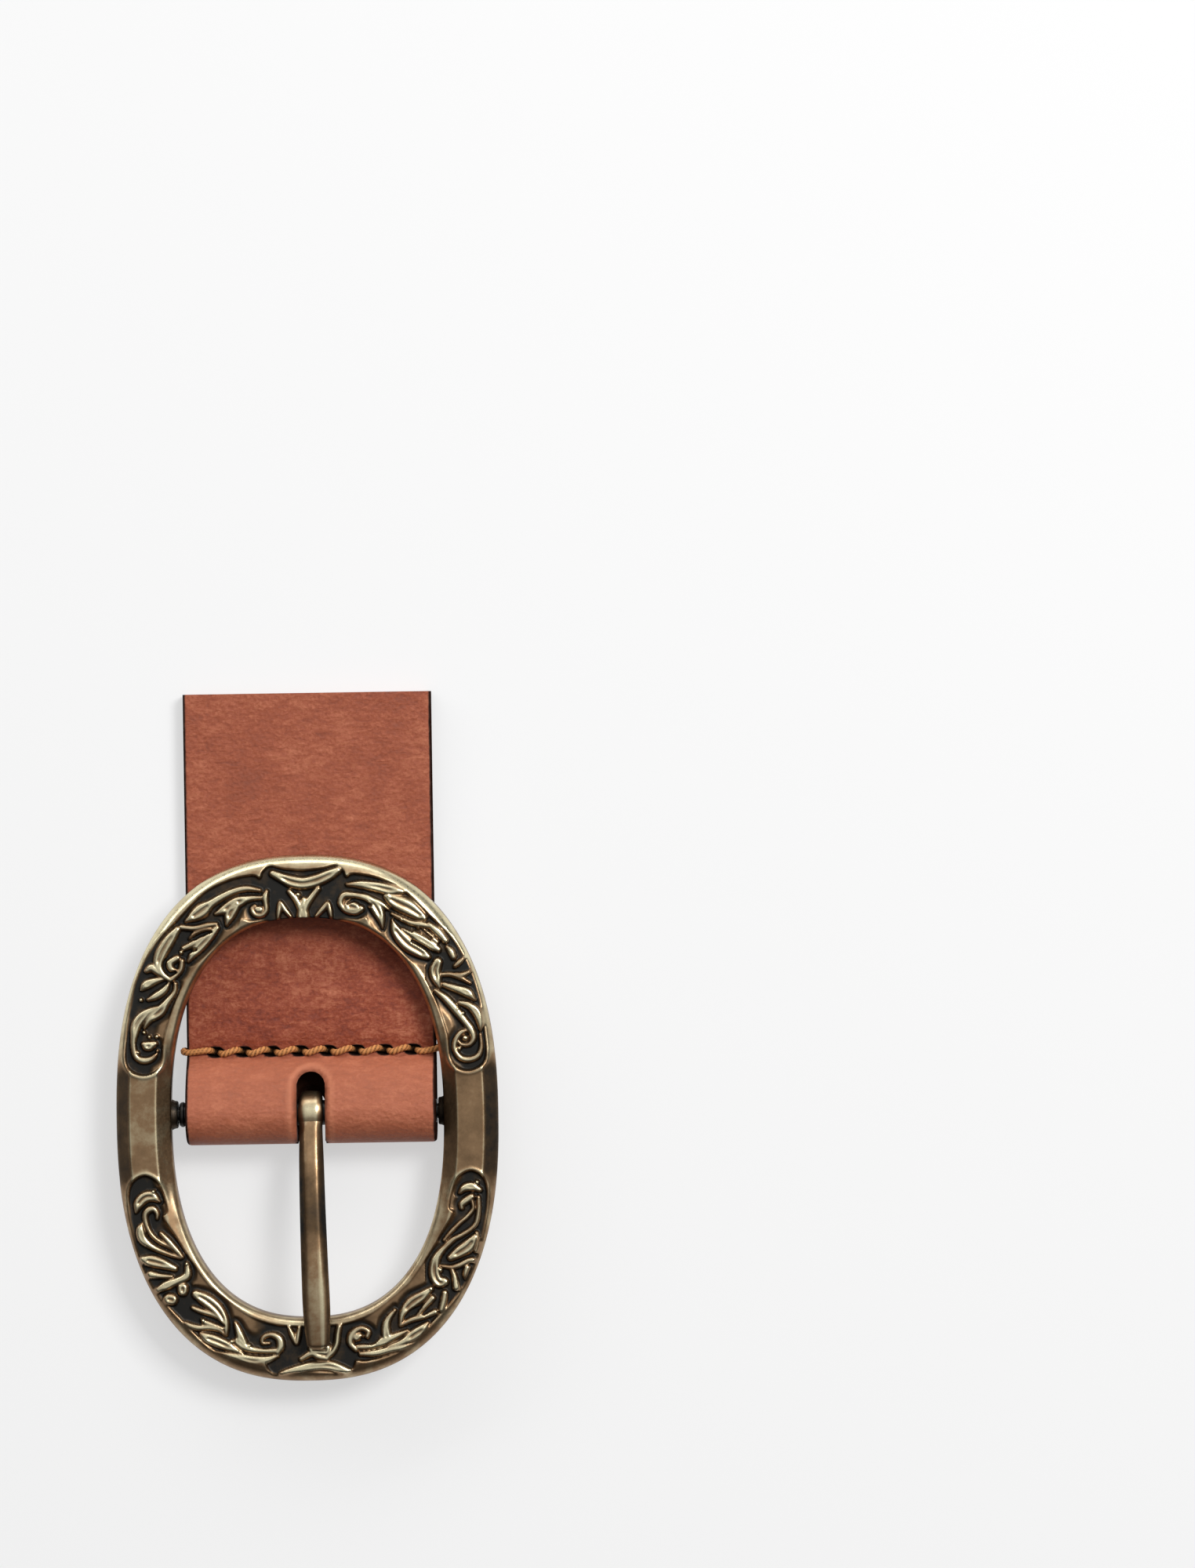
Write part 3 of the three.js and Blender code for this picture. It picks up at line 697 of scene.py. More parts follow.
STROKES = CENTRE_TOP + TOP_RIGHT + TOP_LEFT + CENTRE_BOTTOM + BOTTOM_RIGHT + BOTTOM_LEFT

# Veins and undercuts, drawn into the strokes.
GROOVES = [
    [(7.1, 34.2, 0.4), (8.2, 34.7, 0.5), (9.6, 34.4, 0.5), (10.7, 33.8, 0.4)],
    [(17.3, 28, 0.4), (19, 27.1, 0.45), (20.4, 26.1, 0.4)],
    [(14.5, 31.4, 0.4), (15.8, 30.4, 0.45), (17.3, 29.6, 0.4)],
    [(18.6, 29.9, 0.4), (20.3, 28.4, 0.4)],
    [(-14.8, 30, 0.4), (-16.2, 29.6, 0.5), (-17.4, 28.9, 0.4)],
    [(-17.3, 27.2, 0.4), (-19.2, 26.6, 0.45)],
    [(-18.3, 29.6, 0.5), (-18.9, 28.6, 0.5)],
    [(-21.2, 26.2, 0.4), (-22.2, 25.4, 0.45), (-22.2, 24.2, 0.45), (-21.4, 23.4, 0.45), (-20.6, 23.6, 0.4)],
    [(-22, 22, 0.4), (-23.6, 21.2, 0.45), (-25.8, 20.4, 0.4)],
    [(-26.1, 14.4, 0.4), (-26.8, 12.6, 0.45), (-26.4, 11.2, 0.5), (-25.4, 10.7, 0.5), (-24, 10.9, 0.4)],
    [(8.2, -35.2, 0.4), (9, -35.8, 0.6), (10, -35.9, 0.6), (10.8, -35.3, 0.4)],
    [(15.2, -32, 0.4), (16.2, -30.9, 0.5), (17.6, -30.5, 0.4)],
    [(18.2, -31.5, 0.4), (19.2, -30.8, 0.5), (20, -29.7, 0.4)],
    [(-8.6, -35.9, 0.4), (-7.6, -36.4, 0.5), (-6.4, -36.2, 0.5), (-5.9, -35.7, 0.4)],
    [(-17.2, -31.3, 0.4), (-15, -32, 0.45), (-13.8, -32.9, 0.4)],
    [(-19.2, -30.2, 0.5), (-18, -31.2, 0.6), (-17.5, -32.4, 0.5)],
]

# Small round studs, as (x, y, radius).
PEARLS = [
    (-0.8, 35.7, 0.45), (13.6, 35.3, 0.4), (19.3, 31.6, 0.4), (15.7, 31.5, 0.4), (25.5, 12.4, 0.6),
    (24.5, 10.8, 0.4), (24.3, 17.1, 0.35), (25.2, 16.4, 0.35), (-19.6, 26.8, 0.4), (-26.1, 19.3, 0.4),
    (-26.7, 10.9, 0.35), (-25.7, 14.1, 0.35), (-24.9, 13.4, 0.35), (-23.7, 13.4, 0.35),
    (6.4, -40.4, 0.45), (19.4, -27.5, 0.5), (20.9, -24.5, 0.5), (27, -10.6, 0.45), (-9.7, -36.1, 0.35),
    (-11.6, -36.9, 0.35), (-12.5, -35.4, 0.4), (-17, -32, 0.4), (-19.5, -22.9, 0.4), (-24.6, -11.3, 0.4),
]  # fmt: skip

# Outline of the sunk ground over the +X half: from the middle along the outside to the end, and back.
GROUND_TOP = [
    (0, 39.6), (3, 39.9), (5.2, 40.4), (6.4, 39.6), (6.9, 38.5), (7.6, 38.9), (9, 38.9), (12, 38.2),
    (16, 36.2), (20, 32.2), (24, 28), (26.5, 23.6), (27.9, 18.6), (28.7, 13), (28.8, 9.6), (28, 8),
    (26, 7.2), (24, 7.8), (22.9, 9.4), (22.6, 12.6), (21.5, 16.4), (20.1, 20), (18, 23.6), (16, 25.7),
    (14, 27.6), (12, 29.3), (10.5, 30.6), (9.9, 31.8), (8.6, 31.5), (6.6, 31.6), (5, 31), (3.5, 29),
    (0, 28),
]  # fmt: skip
GROUND_BOTTOM = [
    (0, -40.4), (3, -40.6), (5.6, -40.9), (6.9, -39.9), (7.4, -38.8), (9, -38.9), (12, -38.2),
    (16, -36.4), (20, -32.4), (24, -28), (26.5, -23.6), (27.9, -18.6), (28.6, -14), (28.5, -11),
    (27.6, -9.4), (25.8, -8.7), (23.8, -9.9), (22.9, -12), (22.4, -14.6), (23.1, -15.4), (22, -17.2),
    (21, -18.8), (19.8, -20.8), (18.2, -23.2), (16, -26.2), (14, -28), (12, -29.6), (10.4, -30.8),
    (8.2, -32), (5, -32.9), (0, -33.2),
]  # fmt: skip


def curve_through(points, steps=6):
    """A smooth line through the points, with this many short spans between each two."""
    p = np.array(points, float)
    ends = np.vstack([2 * p[0] - p[1], p, 2 * p[-1] - p[-2]])
    t = (np.arange(steps) / steps)[:, None]
    spans = [
        0.5 * (2 * b + (c - a) * t + (2 * a - 5 * b + 4 * c - d) * t**2 + (3 * b - a - 3 * c + d) * t**3)
        for a, b, c, d in zip(ends, ends[1:], ends[2:], ends[3:])
    ]
    return np.vstack([*spans, p[-1:]])


BODY = 1.32  # how much wider a stroke's foot is than its crest line


def across_stroke(places, stroke):
    """For each place, its distance from the stroke's middle in half widths, and the whole width there."""
    line = curve_through(stroke)
    best = np.full(len(places), np.inf)
    width = np.zeros(len(places))
    for a, b in zip(line, line[1:]):
        along = b[:2] - a[:2]
        share = np.clip((places - a[:2]) @ along / max(along @ along, 1e-9), 0, 1)
        gap = np.linalg.norm(places - a[:2] - share[:, None] * along, axis=1)
        here = BODY * (a[2] + (b[2] - a[2]) * share)
        ratio = gap / (here / 2)
        nearer = ratio < best
        best[nearer] = ratio[nearer]
        width[nearer] = here[nearer]
    return best, width


def near(places, points, margin=1.5):
    """Numbers of the places that lie within the margin of the points' box."""
    flat = np.array(points)[:, :2]
    inside = np.all((places > flat.min(0) - margin) & (places < flat.max(0) + margin), axis=1)
    return np.flatnonzero(inside)


def relief_height(places, depth):
    """Height of leaves, curls and studs over the ground, and each place's gap to the nearest of them."""
    height = np.zeros(len(places))
    gap = np.full(len(places), 1.5)
    for stroke in STROKES:
        spots = near(places, stroke)
        ratio, width = across_stroke(places[spots], stroke)
        crest = depth * np.clip(0.62 + 0.25 * width, 0.7, 1.06)
        vein = 0.3 * step(1.5, 2, width) * np.exp(-((ratio / 0.28) ** 2))
        rise = crest * np.clip(1 - ratio**2.4, 0, 1) ** 0.6 * (1 - vein)
        height[spots] = np.maximum(height[spots], rise)
        gap[spots] = np.minimum(gap[spots], (ratio - 1) * width / 2)
    for groove in GROOVES:
        spots = near(places, groove)
        ratio, _ = across_stroke(places[spots], groove)
        height[spots] -= 0.7 * depth * np.clip(1.1 - ratio**2, 0, 1)
    for x, y, radius in PEARLS:
        spots = near(places, [(x, y)])
        ratio = np.linalg.norm(places[spots] - (x, y), axis=1) / radius
        rise = 1.1 * depth * np.clip(1 - ratio**2, 0, 1) ** 0.5
        height[spots] = np.maximum(height[spots], rise)
    return np.clip(height, 0, None), gap


def distance_inside(places, outline):
    """How far each place lies inside a closed outline, negative outside it."""
    nearest = np.full(len(places), np.inf)
    crossings = np.zeros(len(places), int)
    for a, b in zip(outline, np.roll(outline, -1, axis=0)):
        along = b - a
        share = np.clip((places - a) @ along / max(along @ along, 1e-9), 0, 1)
        nearest = np.minimum(nearest, np.linalg.norm(places - a - share[:, None] * along, axis=1))
        spans = (a[1] > places[:, 1]) != (b[1] > places[:, 1])
        reach = a[0] + (places[:, 1] - a[1]) * along[0] / (along[1] if along[1] else 1e-9)
        crossings += spans & (places[:, 0] < reach)
    return np.where(crossings % 2 == 1, nearest, -nearest)


def ground_outline(half):
    """The closed outline of one panel's ground, from its +X half."""
    right = curve_through(half, 5)
    left = right[::-1] * (-1, 1)
    return np.vstack([right, left])


def oval_radius(half_width, half_height, angle):
    across = np.abs(np.cos(angle) / half_width) ** OVAL_POWER
    along = np.abs(np.sin(angle) / half_height) ** OVAL_POWER
    return (across + along) ** (-1 / OVAL_POWER)


# Ring


RING_STEPS = 1500
LIP_HEIGHT = 0.14  # of the thin lip round the end of each panel
FACE_ROWS = 50

# Height of the ring's face across it, from the opening (0) to the outside (1): on the plain rails, and
# where the panels are, whose outside is one soft round and whose inside is a narrow rim.
RAIL_SECTION = [
    (0, 7.7), (0.03, 7.95), (0.25, 9.55), (0.27, 9.6), (0.73, 9.6), (0.75, 9.55), (0.97, 7.9), (1, 7.6),
]  # fmt: skip
PANEL_SECTION = [
    (0, 8.3), (0.03, 8.75), (0.07, 9.05), (0.14, 9.2), (0.25, 9.5), (0.6, 9.6), (0.72, 9.6), (0.8, 9.48),
    (0.88, 9.15), (0.95, 8.6), (1, 7.9),
]  # fmt: skip
# Walls and back, as (share across, height), going down the outside and up the inside.
OUTER_WALL = [(1, 7), (1, 5.5), (0.985, 5.15), (0.95, FRAME_BACK_Z)]
INNER_WALL = [(0.05, FRAME_BACK_Z), (0.015, 5.15), (0, 5.5), (0, 7)]
UNSHAPED_Z = 10  # of the face's vertices until the relief gives them their height
PANEL_ENDS = (8.2, 9.6)  # how far above and below the oval's middle the panels end


def ring_section():
    """Rows of (share across, height) round the ring's section."""
    shares = np.concatenate([[0, 0.02], np.linspace(0.04, 0.88, FACE_ROWS), [0.91, 0.94, 0.97, 1]])
    face = [(share, UNSHAPED_Z) for share in shares]
    return np.array(face + OUTER_WALL + [(0.5, FRAME_BACK_Z)] + INNER_WALL)


def even_angles(half_width, half_height, turns):
    """Angles that lie evenly along the oval's length for shares of a turn."""
    fine = np.linspace(0, 2 * math.pi, 4001)
    radius = oval_radius(half_width, half_height, fine)
    outline = np.stack([radius * np.cos(fine), radius * np.sin(fine)], axis=1)
    travelled = np.concatenate([[0], np.cumsum(np.linalg.norm(np.diff(outline, axis=0), axis=1))])
    return np.interp(turns % 1, travelled / travelled[-1], fine)


def face_height(xy, across, depth):
    """Height of the ring's face, then where it is sunk, blends into a panel, has a lip, or slopes openly."""
    end = np.where(xy[:, 1] > 0, *PANEL_ENDS)
    along = np.abs(xy[:, 1])
    inner_blend = step(end - 1.2, end + 6, along)
    outer_blend = step(end - 1.5, end + 2.5, along)
    blend = np.where(across < 0.5, inner_blend, outer_blend)
    rail = np.interp(across, *zip(*RAIL_SECTION))
    panel = np.interp(across, *zip(*PANEL_SECTION))
    base = rail + (panel - rail) * blend

    inside = np.maximum(
        distance_inside(xy, ground_outline(GROUND_TOP)),
        distance_inside(xy, ground_outline(GROUND_BOTTOM)),
    )
    sunk = step(-0.12, 0.3, inside)
    relief, gap = relief_height(xy, depth)
    open_slope = step(0.15, 1.1, gap) * step(0.42, 0.3, across) * step(6, 10, np.abs(xy[:, 0]))
    ground = FACE_Z - depth + 0.3 * open_slope
    lip = np.clip(1 - np.abs(along - end) / 5, 0, 1) * np.exp(-(((inside + 0.35) / 0.28) ** 2))
    height = base + (ground - base) * sunk + relief * sunk + LIP_HEIGHT * lip
    return np.minimum(height, FACE_Z + 0.12), sunk, blend, outer_blend, lip, open_slope


def face_wear(xy, across, depth, height, sunk, blend, outer_blend, lip, open_slope):
    """How far the brass is brushed back at the edges, lips and high relief, with a painted highlight along
    the outside of the upper half and painted shade on the plain rails' outer slopes and on the rail towards
    +X.
    """
    plain_rail = 1 - outer_blend
    # Painted highlight: the outside of the upper half starts lighter.
    rub_and_painted_light = 0.56 + 0.36 * step(0.8, 0.92, across) * step(5, 24, xy[:, 1])
    for rail_edge in (0.26, 0.74):
        rub_and_painted_light += 0.2 * np.exp(-(((across - rail_edge) / 0.02) ** 2))
    # Painted shade: darker on the plain rails' outer slopes and on the rail towards +X.
    rub_and_painted_light -= 0.33 * step(0.74, 0.79, across) * plain_rail
    rub_and_painted_light -= 0.1 * step(15, 25, xy[:, 0]) * plain_rail
    rub_and_painted_light += 0.3 * lip + 0.15 * step(0.2, 0.05, across) * blend
    above = (height - FACE_Z) / depth + 1
    raised = step(0.08, 0.45, above) * (0.55 + 0.4 * step(0.72, 1, above))
    return rub_and_painted_light * (1 - sunk) + np.maximum(raised, 0.5 * open_slope) * sunk


def ring_bmesh(settings):
    """A grid rolled into the oval ring, its face raised into rails, rims and relief."""
    outer = (FRAME_HIGH - FRAME_LOW)[:2] / 2
    inner = np.array([settings.opening_width, settings.opening_height]) / MM / 2
    section = ring_section()
    bm, column, row = numbered_grid(RING_STEPS, len(section))
    share, height_of_row = section[row % len(section)].T
    middle = (outer + inner) / 2
    angle = even_angles(*middle, column % RING_STEPS / RING_STEPS)
    half = inner + share[:, None] * (outer - inner)
    radius = oval_radius(half[:, 0], half[:, 1], angle)
    places = np.stack([radius * np.cos(angle), radius * np.sin(angle)], axis=1)

    spots = np.flatnonzero(height_of_row == UNSHAPED_Z)
    xy, across = places[spots], share[spots]
    depth = settings.relief_depth / MM
    height, *marks = face_height(xy, across, depth)
    result = np.column_stack([places[:, 0], places[:, 1] + OVAL_CENTRE_Y, height_of_row])
    result[spots, 2] = height
    place(bm, result)
    wear_and_painted_light = np.full(len(result), 0.4)
    wear_and_painted_light[spots] = face_wear(xy, across, depth, height, *marks)
    store_shares(bm, "wear_and_painted_light", wear_and_painted_light)
    close_seams(bm)
    return bm


class BUCKLE_OT_add_frame(bpy.types.Operator):
    """Add the cast ring with its relief panels, and the two lugs that hold the bar"""

    bl_idname = "buckle.add_frame"
    bl_label = "Add Frame"

    def execute(self, context):
        settings = context.scene.buckle_metal
        brass = antique_brass(settings)
        ring = add_piece("cast_ring", ring_bmesh(settings), "frame", brass, sharp_angle=180)
        lugs = add_piece("bar_lugs", lugs_bmesh(), "frame", brass)
        set_shares(lugs.data, "wear_and_painted_light", np.full(len(lugs.data.vertices), 0.08))
        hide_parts("frame")
        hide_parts("frame")
        return {"FINISHED"}


def lugs_bmesh():
    """Two round lugs under the rails, each with a flared nose and a blind hole for the bar's spigot."""
    nose, wall, outside = 20.9, 22.1, 27.9
    profile = [
        (25.3, 0), (25.3, 1.5), (nose, 1.5), (nose - 0.02, 1.55), (nose - 0.02, 2.05), (nose + 0.1, 2.18),
        (nose + 0.5, 2.25), (wall - 0.3, 2.45), (wall, 2.7), (wall + 0.4, 2.9), (outside - 2, 2.95),
        (outside - 1.2, 2.75), (outside - 0.5, 2.2), (outside - 0.1, 1.2), (outside, 0),
    ]  # fmt: skip
    bm = lathe_x(profile, LATHE_STEPS)
    other = bmesh.ops.duplicate(bm, geom=bm.verts[:] + bm.edges[:] + bm.faces[:])["geom"]
    bmesh.ops.scale(bm, verts=[v for v in other if isinstance(v, bmesh.types.BMVert)], vec=(-1, 1, 1))
    bmesh.ops.translate(bm, verts=bm.verts, vec=(0, BAR_Y, BAR_Z))
    bmesh.ops.recalc_face_normals(bm, faces=bm.faces)
    return bm


# Bar


# The right half of the bar, as (x, radius): a groove, a collar, a shoulder and the spigot in the lug.
BAR_HALF = [
    (19.3, 2), (19.5, 1.8), (19.75, 1.8), (19.95, 2), (20.3, 2), (20.6, 1.8), (20.6, 1.2),
    (BAR_END - 0.25, 1.2), (BAR_END, 0.95), (BAR_END, 0),
]  # fmt: skip


class BUCKLE_OT_add_bar(bpy.types.Operator):
    """Add the turned steel bar that the strap folds round"""

    bl_idname = "buckle.add_bar"
    bl_label = "Add Bar"

    def execute(self, context):
        settings = context.scene.buckle_metal
        profile = [(-x, radius) for x, radius in reversed(BAR_HALF)] + BAR_HALF
        bm = lathe_x(profile, LATHE_STEPS)
        bmesh.ops.translate(bm, verts=bm.verts, vec=(0, BAR_Y, BAR_Z))
        bar = add_piece("turned_bar", bm, "frame", gunmetal_steel(settings), sharp_angle=30)
        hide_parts("bar")
        return {"FINISHED"}


# Prong


# Middle of the prong from the bar's axis, with its half width and half height there.
SHANK = [
    (0.02, -1.2, 2.62, 1.98, 0.66),
    (0.05, -2.6, 2.95, 1.88, 0.9),
    (0.15, -7.5, 4.3, 2, 1.25),
    (0.32, -15, 5.75, 2.08, 1.35),
    (0.55, -24, 6.5, 2.17, 1.3),
    (0.75, -31, 6.5, 2.2, 1.2),
    (0.88, -36, 6.12, 1.9, 1.05),
    (0.92, -37.2, 5.97, 1.68, 0.95),
]
PRONG_EYE_X = 0.5
EYE_RADIUS = 2.9  # of the middle of the curled strip
EYE_HALF = (2.0, 0.58)
EYE_START, EYE_END = -140, 105  # degrees round the bar, from the tucked end over the back to the shank
EYE_ROWS = 48
TIP_ROUND = 0.9
START_ROUND = 0.5
PRONG_SIDES = 48
PRONG_POWER = 0.72  # of the section's cosine and sine: 1 is an ellipse, and less is squarer


def prong_line():
    """Rows of (x, y, z, half width, half height) along the prong, from its eye's tucked end to its tip."""
    turns = np.radians(np.linspace(EYE_START, EYE_END, EYE_ROWS))
    eye = np.column_stack([
        np.zeros(EYE_ROWS),
        EYE_RADIUS * np.cos(turns),
        EYE_RADIUS * np.sin(turns),
        EYE_HALF[0] * (0.86 + 0.14 * step(5, 85, np.degrees(turns))),
        np.full(EYE_ROWS, EYE_HALF[1]),
    ])
    shank = curve_through(SHANK, 14)
    return np.vstack([eye, shank])


def prong_bmesh(width):
    rows = prong_line()
    centres = rows[:, :3] + (PRONG_EYE_X, BAR_Y, BAR_Z)
    scale = width / 2 / max(row[3] for row in SHANK)
    forward = np.gradient(centres, axis=0)
    ups = np.cross(np.broadcast_to((-1.0, 0, 0), forward.shape), forward)
    travelled = np.concatenate([[0], np.cumsum(np.linalg.norm(np.diff(centres, axis=0), axis=1))])
    from_tip = travelled[-1] - travelled
    round_tip = np.sqrt(np.clip(1 - np.clip(1 - from_tip / TIP_ROUND, 0, 0.995) ** 2, 0, 1))
    round_start = np.sqrt(np.clip(1 - np.clip(1 - travelled / START_ROUND, 0, 0.995) ** 2, 0, 1))
    size = np.minimum(round_tip, round_start)
    y_from_bar = rows[:, 1]
    # A flat facet runs along the top of the shank and fades into a round back near the tip.
    turn = np.degrees(np.arctan2(rows[:, 2], rows[:, 1]))
    facet = step(-34, -14, y_from_bar) * step(EYE_END - 60, EYE_END, turn)

    def section(station, angle):
        flat = facet[station]
        cos, sin = np.cos(angle), np.sin(angle)
        side = np.sign(cos) * np.abs(cos) ** PRONG_POWER
        up = np.sign(sin) * np.abs(sin) ** PRONG_POWER
        ridge = np.clip((1 - np.abs(side)) / 0.54, 0, 1) ** 0.8
        faceted = np.where(up > 0, 0.12 + 0.88 * ridge, up)
        height = up + (faceted - up) * flat * (up > 0)
        across = side * rows[station, 3] * scale * size[station]
        back = y_from_bar[station]
        # Painted shade darkens the sides, the underside and a band midway along the shank. Painted highlights
        # light the eye's dome and thin lines along the facet's edges, the right one near the eye and towards
        # the tip.
        wear_and_painted_light = 0.5 - 0.3 * step(0.45, 0.9, np.abs(side)) - 0.2 * (up < 0)
        wear_and_painted_light -= 0.32 * np.exp(-(((back + 15) / 5) ** 2)) - 0.1 * step(-20, -26, back)
        painted_glint_reach = 0.5 * step(-12, -8, back) + 1.2 * step(-19, -24, back)
        wear_and_painted_light += 0.38 * np.exp(-(((back - 0.4) / 1.5) ** 2) - (side / 0.8) ** 2) * (up > 0)
        wear_and_painted_light += 0.24 * painted_glint_reach * np.exp(-(((side + 0.47) / 0.14) ** 2)) * (up > 0)
        wear_and_painted_light += 0.08 * np.exp(-(((side - 0.47) / 0.09) ** 2)) * flat * (up > 0)
        return across, height * rows[station, 4] * size[station], wear_and_painted_light

    return sweep(PRONG_SIDES, centres, ups, section, "wear_and_painted_light")


class BUCKLE_OT_add_prong(bpy.types.Operator):
    """Add the bowed prong, whose curled eye turns on the bar"""

    bl_idname = "buckle.add_prong"
    bl_label = "Add Prong"

    def execute(self, context):
        settings = context.scene.buckle_metal
        bm = prong_bmesh(settings.prong_width / MM)
        prong = add_piece("bowed_prong", bm, "prong", antique_brass(settings))
        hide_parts("prong")
        return {"FINISHED"}


# Strap end


# Upper and under side of the upper strip and of the flap, as (y from the bar, z over the table).
STRAP_TOP = [
    (1.28, 9.73), (4.5, 8.6), (7.2, 6.7), (8.8, 5.05), (9.9, 4.3), (10.9, 4.55), (13.5, 4.7), (18, 4.5),
    (22, 3.9), (27, 3.25), (31, 3), (45, 3), (67.4, 3),
]  # fmt: skip
STRAP_UNDER = [
    (0.6, 7.17), (4.5, 5.75), (7.2, 3.7), (8.8, 2.35), (9.9, 2.05), (10.9, 2), (13.5, 1.85), (18, 1.6),
    (22, 1), (27, 0.3), (30, 0), (45, 0), (67.4, 0),
]  # fmt: skip
FLAP_OVER = [(0.3, 2.66), (4, 2.6), (6.5, 2.3), (8.3, 1.75), (9.9, 1.75), (13.5, 1.5), (18.4, 0.9)]
FLAP_UNDER = [
    (0, 0), (4, 0), (8.2, 0.02), (9, 0.7), (9.9, 1.12), (10.8, 0.7), (11.6, 0.02), (14, 0), (18.4, 0),
]  # fmt: skip
FOLD_OUTER_R, FOLD_INNER_R = 4.95, 2.35
FOLD_START = 75  # degrees round the bar, where the upper strip ends and the fold begins
TOP_ROWS, FOLD_ROWS, FLAP_ROWS = 150, 72, 50
STITCH_Y = 9.9
HOLE_XS = [-15.4 + 4.52 * i for i in range(8)]  # from the middle of the strap
HOLE_SIZE = (2.6, 1.6)
HOLE_HEIGHTS = ((2.35, 8), (-1, 1.4))  # each hole is pricked from both sides, and the thread hides its floor
SLOT_HALF = 2.3
SLOT_BACK_HALF = 2.05
SLOT_TOP, SLOT_BACK = 6.7, 3.2  # how far the slot reaches from the bar, in the upper strip and in the flap
SLOT_START = -10  # well before the fold
PARING = 0.9  # how much thinner the flap is round its slot


def fold_arc(radius, start, end, steps=26):
    turns = np.radians(np.linspace(start, end, steps))
    return np.column_stack([radius * np.cos(turns), BAR_Z + radius * np.sin(turns)])


def even_line(points, count):
    """The same line with this many points, evenly spaced."""
    travelled = np.concatenate([[0], np.cumsum(np.linalg.norm(np.diff(points, axis=0), axis=1))])
    wanted = np.linspace(0, travelled[-1], count)
    return np.column_stack([np.interp(wanted, travelled, points[:, i]) for i in (0, 1)])


def strip_sides():
    """The outer and inner line of the strip, from the cut end round the bar to the end of the flap."""
    sides = []
    for top, flap, radius, fold_end in (
        (STRAP_TOP, FLAP_UNDER, FOLD_OUTER_R, 270),
        (STRAP_UNDER, FLAP_OVER, FOLD_INNER_R, 278),
    ):
        upper = even_line(curve_through(top[::-1], 12), TOP_ROWS)
        fold = even_line(fold_arc(radius, FOLD_START, fold_end), FOLD_ROWS)[1:-1]
        under = even_line(curve_through(flap, 8), FLAP_ROWS)
        sides.append(np.vstack([upper, fold, under]))
    return sides


def slot_gap(x, y, top, half=SLOT_HALF):
    """Distance of places outside a slot's outline, along the strap's face; negative inside it."""
    return np.hypot(x, np.clip(y - (top - half), 0, None)) - half


STRIP_SIDES = 2 * 96


def strip_bmesh(edge_round):
    """The folded strip as one closed band with rounded long edges."""
    outer, inner = strip_sides()
    middle = (outer + inner) / 2
    half = (outer - inner) / 2
    bm, column, station = numbered_grid(STRIP_SIDES, len(middle) - 1)
    turn = 2 * column / STRIP_SIDES - 1  # from -1 to 1, above 0 on the outer side
    share = 1 - 2 * np.abs(turn)  # 1 at one edge of the strap and -1 at the other
    flat = STRAP_W / 2 - edge_round
    arc = 0.12  # of each half of the section that goes into an edge
    beyond = np.clip((np.abs(share) - (1 - arc)) / arc, 0, 1)
    x = np.where(
        np.abs(share) <= 1 - arc,
        share / (1 - arc) * flat,
        np.sign(share) * (flat + edge_round * np.sin(beyond * math.pi / 2)),
    )
    thick = 0.42 + 0.58 * np.sqrt(np.clip(np.cos(beyond * math.pi / 2), 0, 1))
    thick = np.where(beyond >= 0.999, 0.0, thick)
    side = np.where(turn >= 0, 1, -1) * thick
    yz = middle[station] + half[station] * side[:, None]
    place(bm, np.column_stack([x + STRAP_X, yz[:, 0] + BAR_Y, yz[:, 1]]))
    close_seams(bm)
    return bm


def round_slot_bmesh(width, length_y, low, high):
    """A cutter: a round-ended prism, centred in X and Y, from one height to another."""
    bm = bmesh.new()
    circle = bmesh.ops.create_circle(bm, segments=48, radius=min(width, length_y) / 2, cap_ends=True)["verts"]
    stretch = abs(width - length_y) / 2
    axis = 0 if width > length_y else 1
    for vert in circle:
        if abs(vert.co[axis]) > 1e-6:
            vert.co[axis] += math.copysign(stretch, vert.co[axis])
        vert.co.z = low
    top = bmesh.ops.extrude_face_region(bm, geom=bm.faces[:])["geom"]
    raised = [v for v in top if isinstance(v, bmesh.types.BMVert)]
    bmesh.ops.translate(bm, verts=raised, vec=(0, 0, high - low))
    bmesh.ops.recalc_face_normals(bm, faces=bm.faces)
    return bm


def slot_cutter(middle_x, half, top, low, high):
    """The cutter of the prong's slot, from well before the fold to the round end, between two heights."""
    bm = round_slot_bmesh(2 * half, top - SLOT_START, low, high)
    bmesh.ops.translate(bm, verts=bm.verts, vec=(middle_x, BAR_Y + (top + SLOT_START) / 2, 0))
    return bm


def join(bm, other):
    """Adds the other bmesh to the first and frees it."""
    mesh = bpy.data.meshes.new("joined")
    other.to_mesh(mesh)
    other.free()
    bm.from_mesh(mesh)
    bpy.data.meshes.remove(mesh)


def cut_from(piece, cutters):
    """Cuts each bmesh, in millimetres, out of a finished piece."""
    for bm in cutters:
        mesh = bpy.data.meshes.new("cutter")
        bm.to_mesh(mesh)
        bm.free()
        mesh.transform(Matrix.Scale(MM, 4))
        tool = bpy.data.objects.new("cutter", mesh)
        bpy.context.scene.collection.objects.link(tool)
        cut = piece.modifiers.new("cut", "BOOLEAN")
        cut.operation = "DIFFERENCE"
        cut.solver = "EXACT"
        cut.object = tool
        evaluated = piece.evaluated_get(bpy.context.evaluated_depsgraph_get())
        result = bpy.data.meshes.new_from_object(evaluated)
        piece.modifiers.clear()
        old = piece.data
        piece.data = result
        bpy.data.meshes.remove(old)
        bpy.data.objects.remove(tool)
        bpy.data.meshes.remove(mesh)


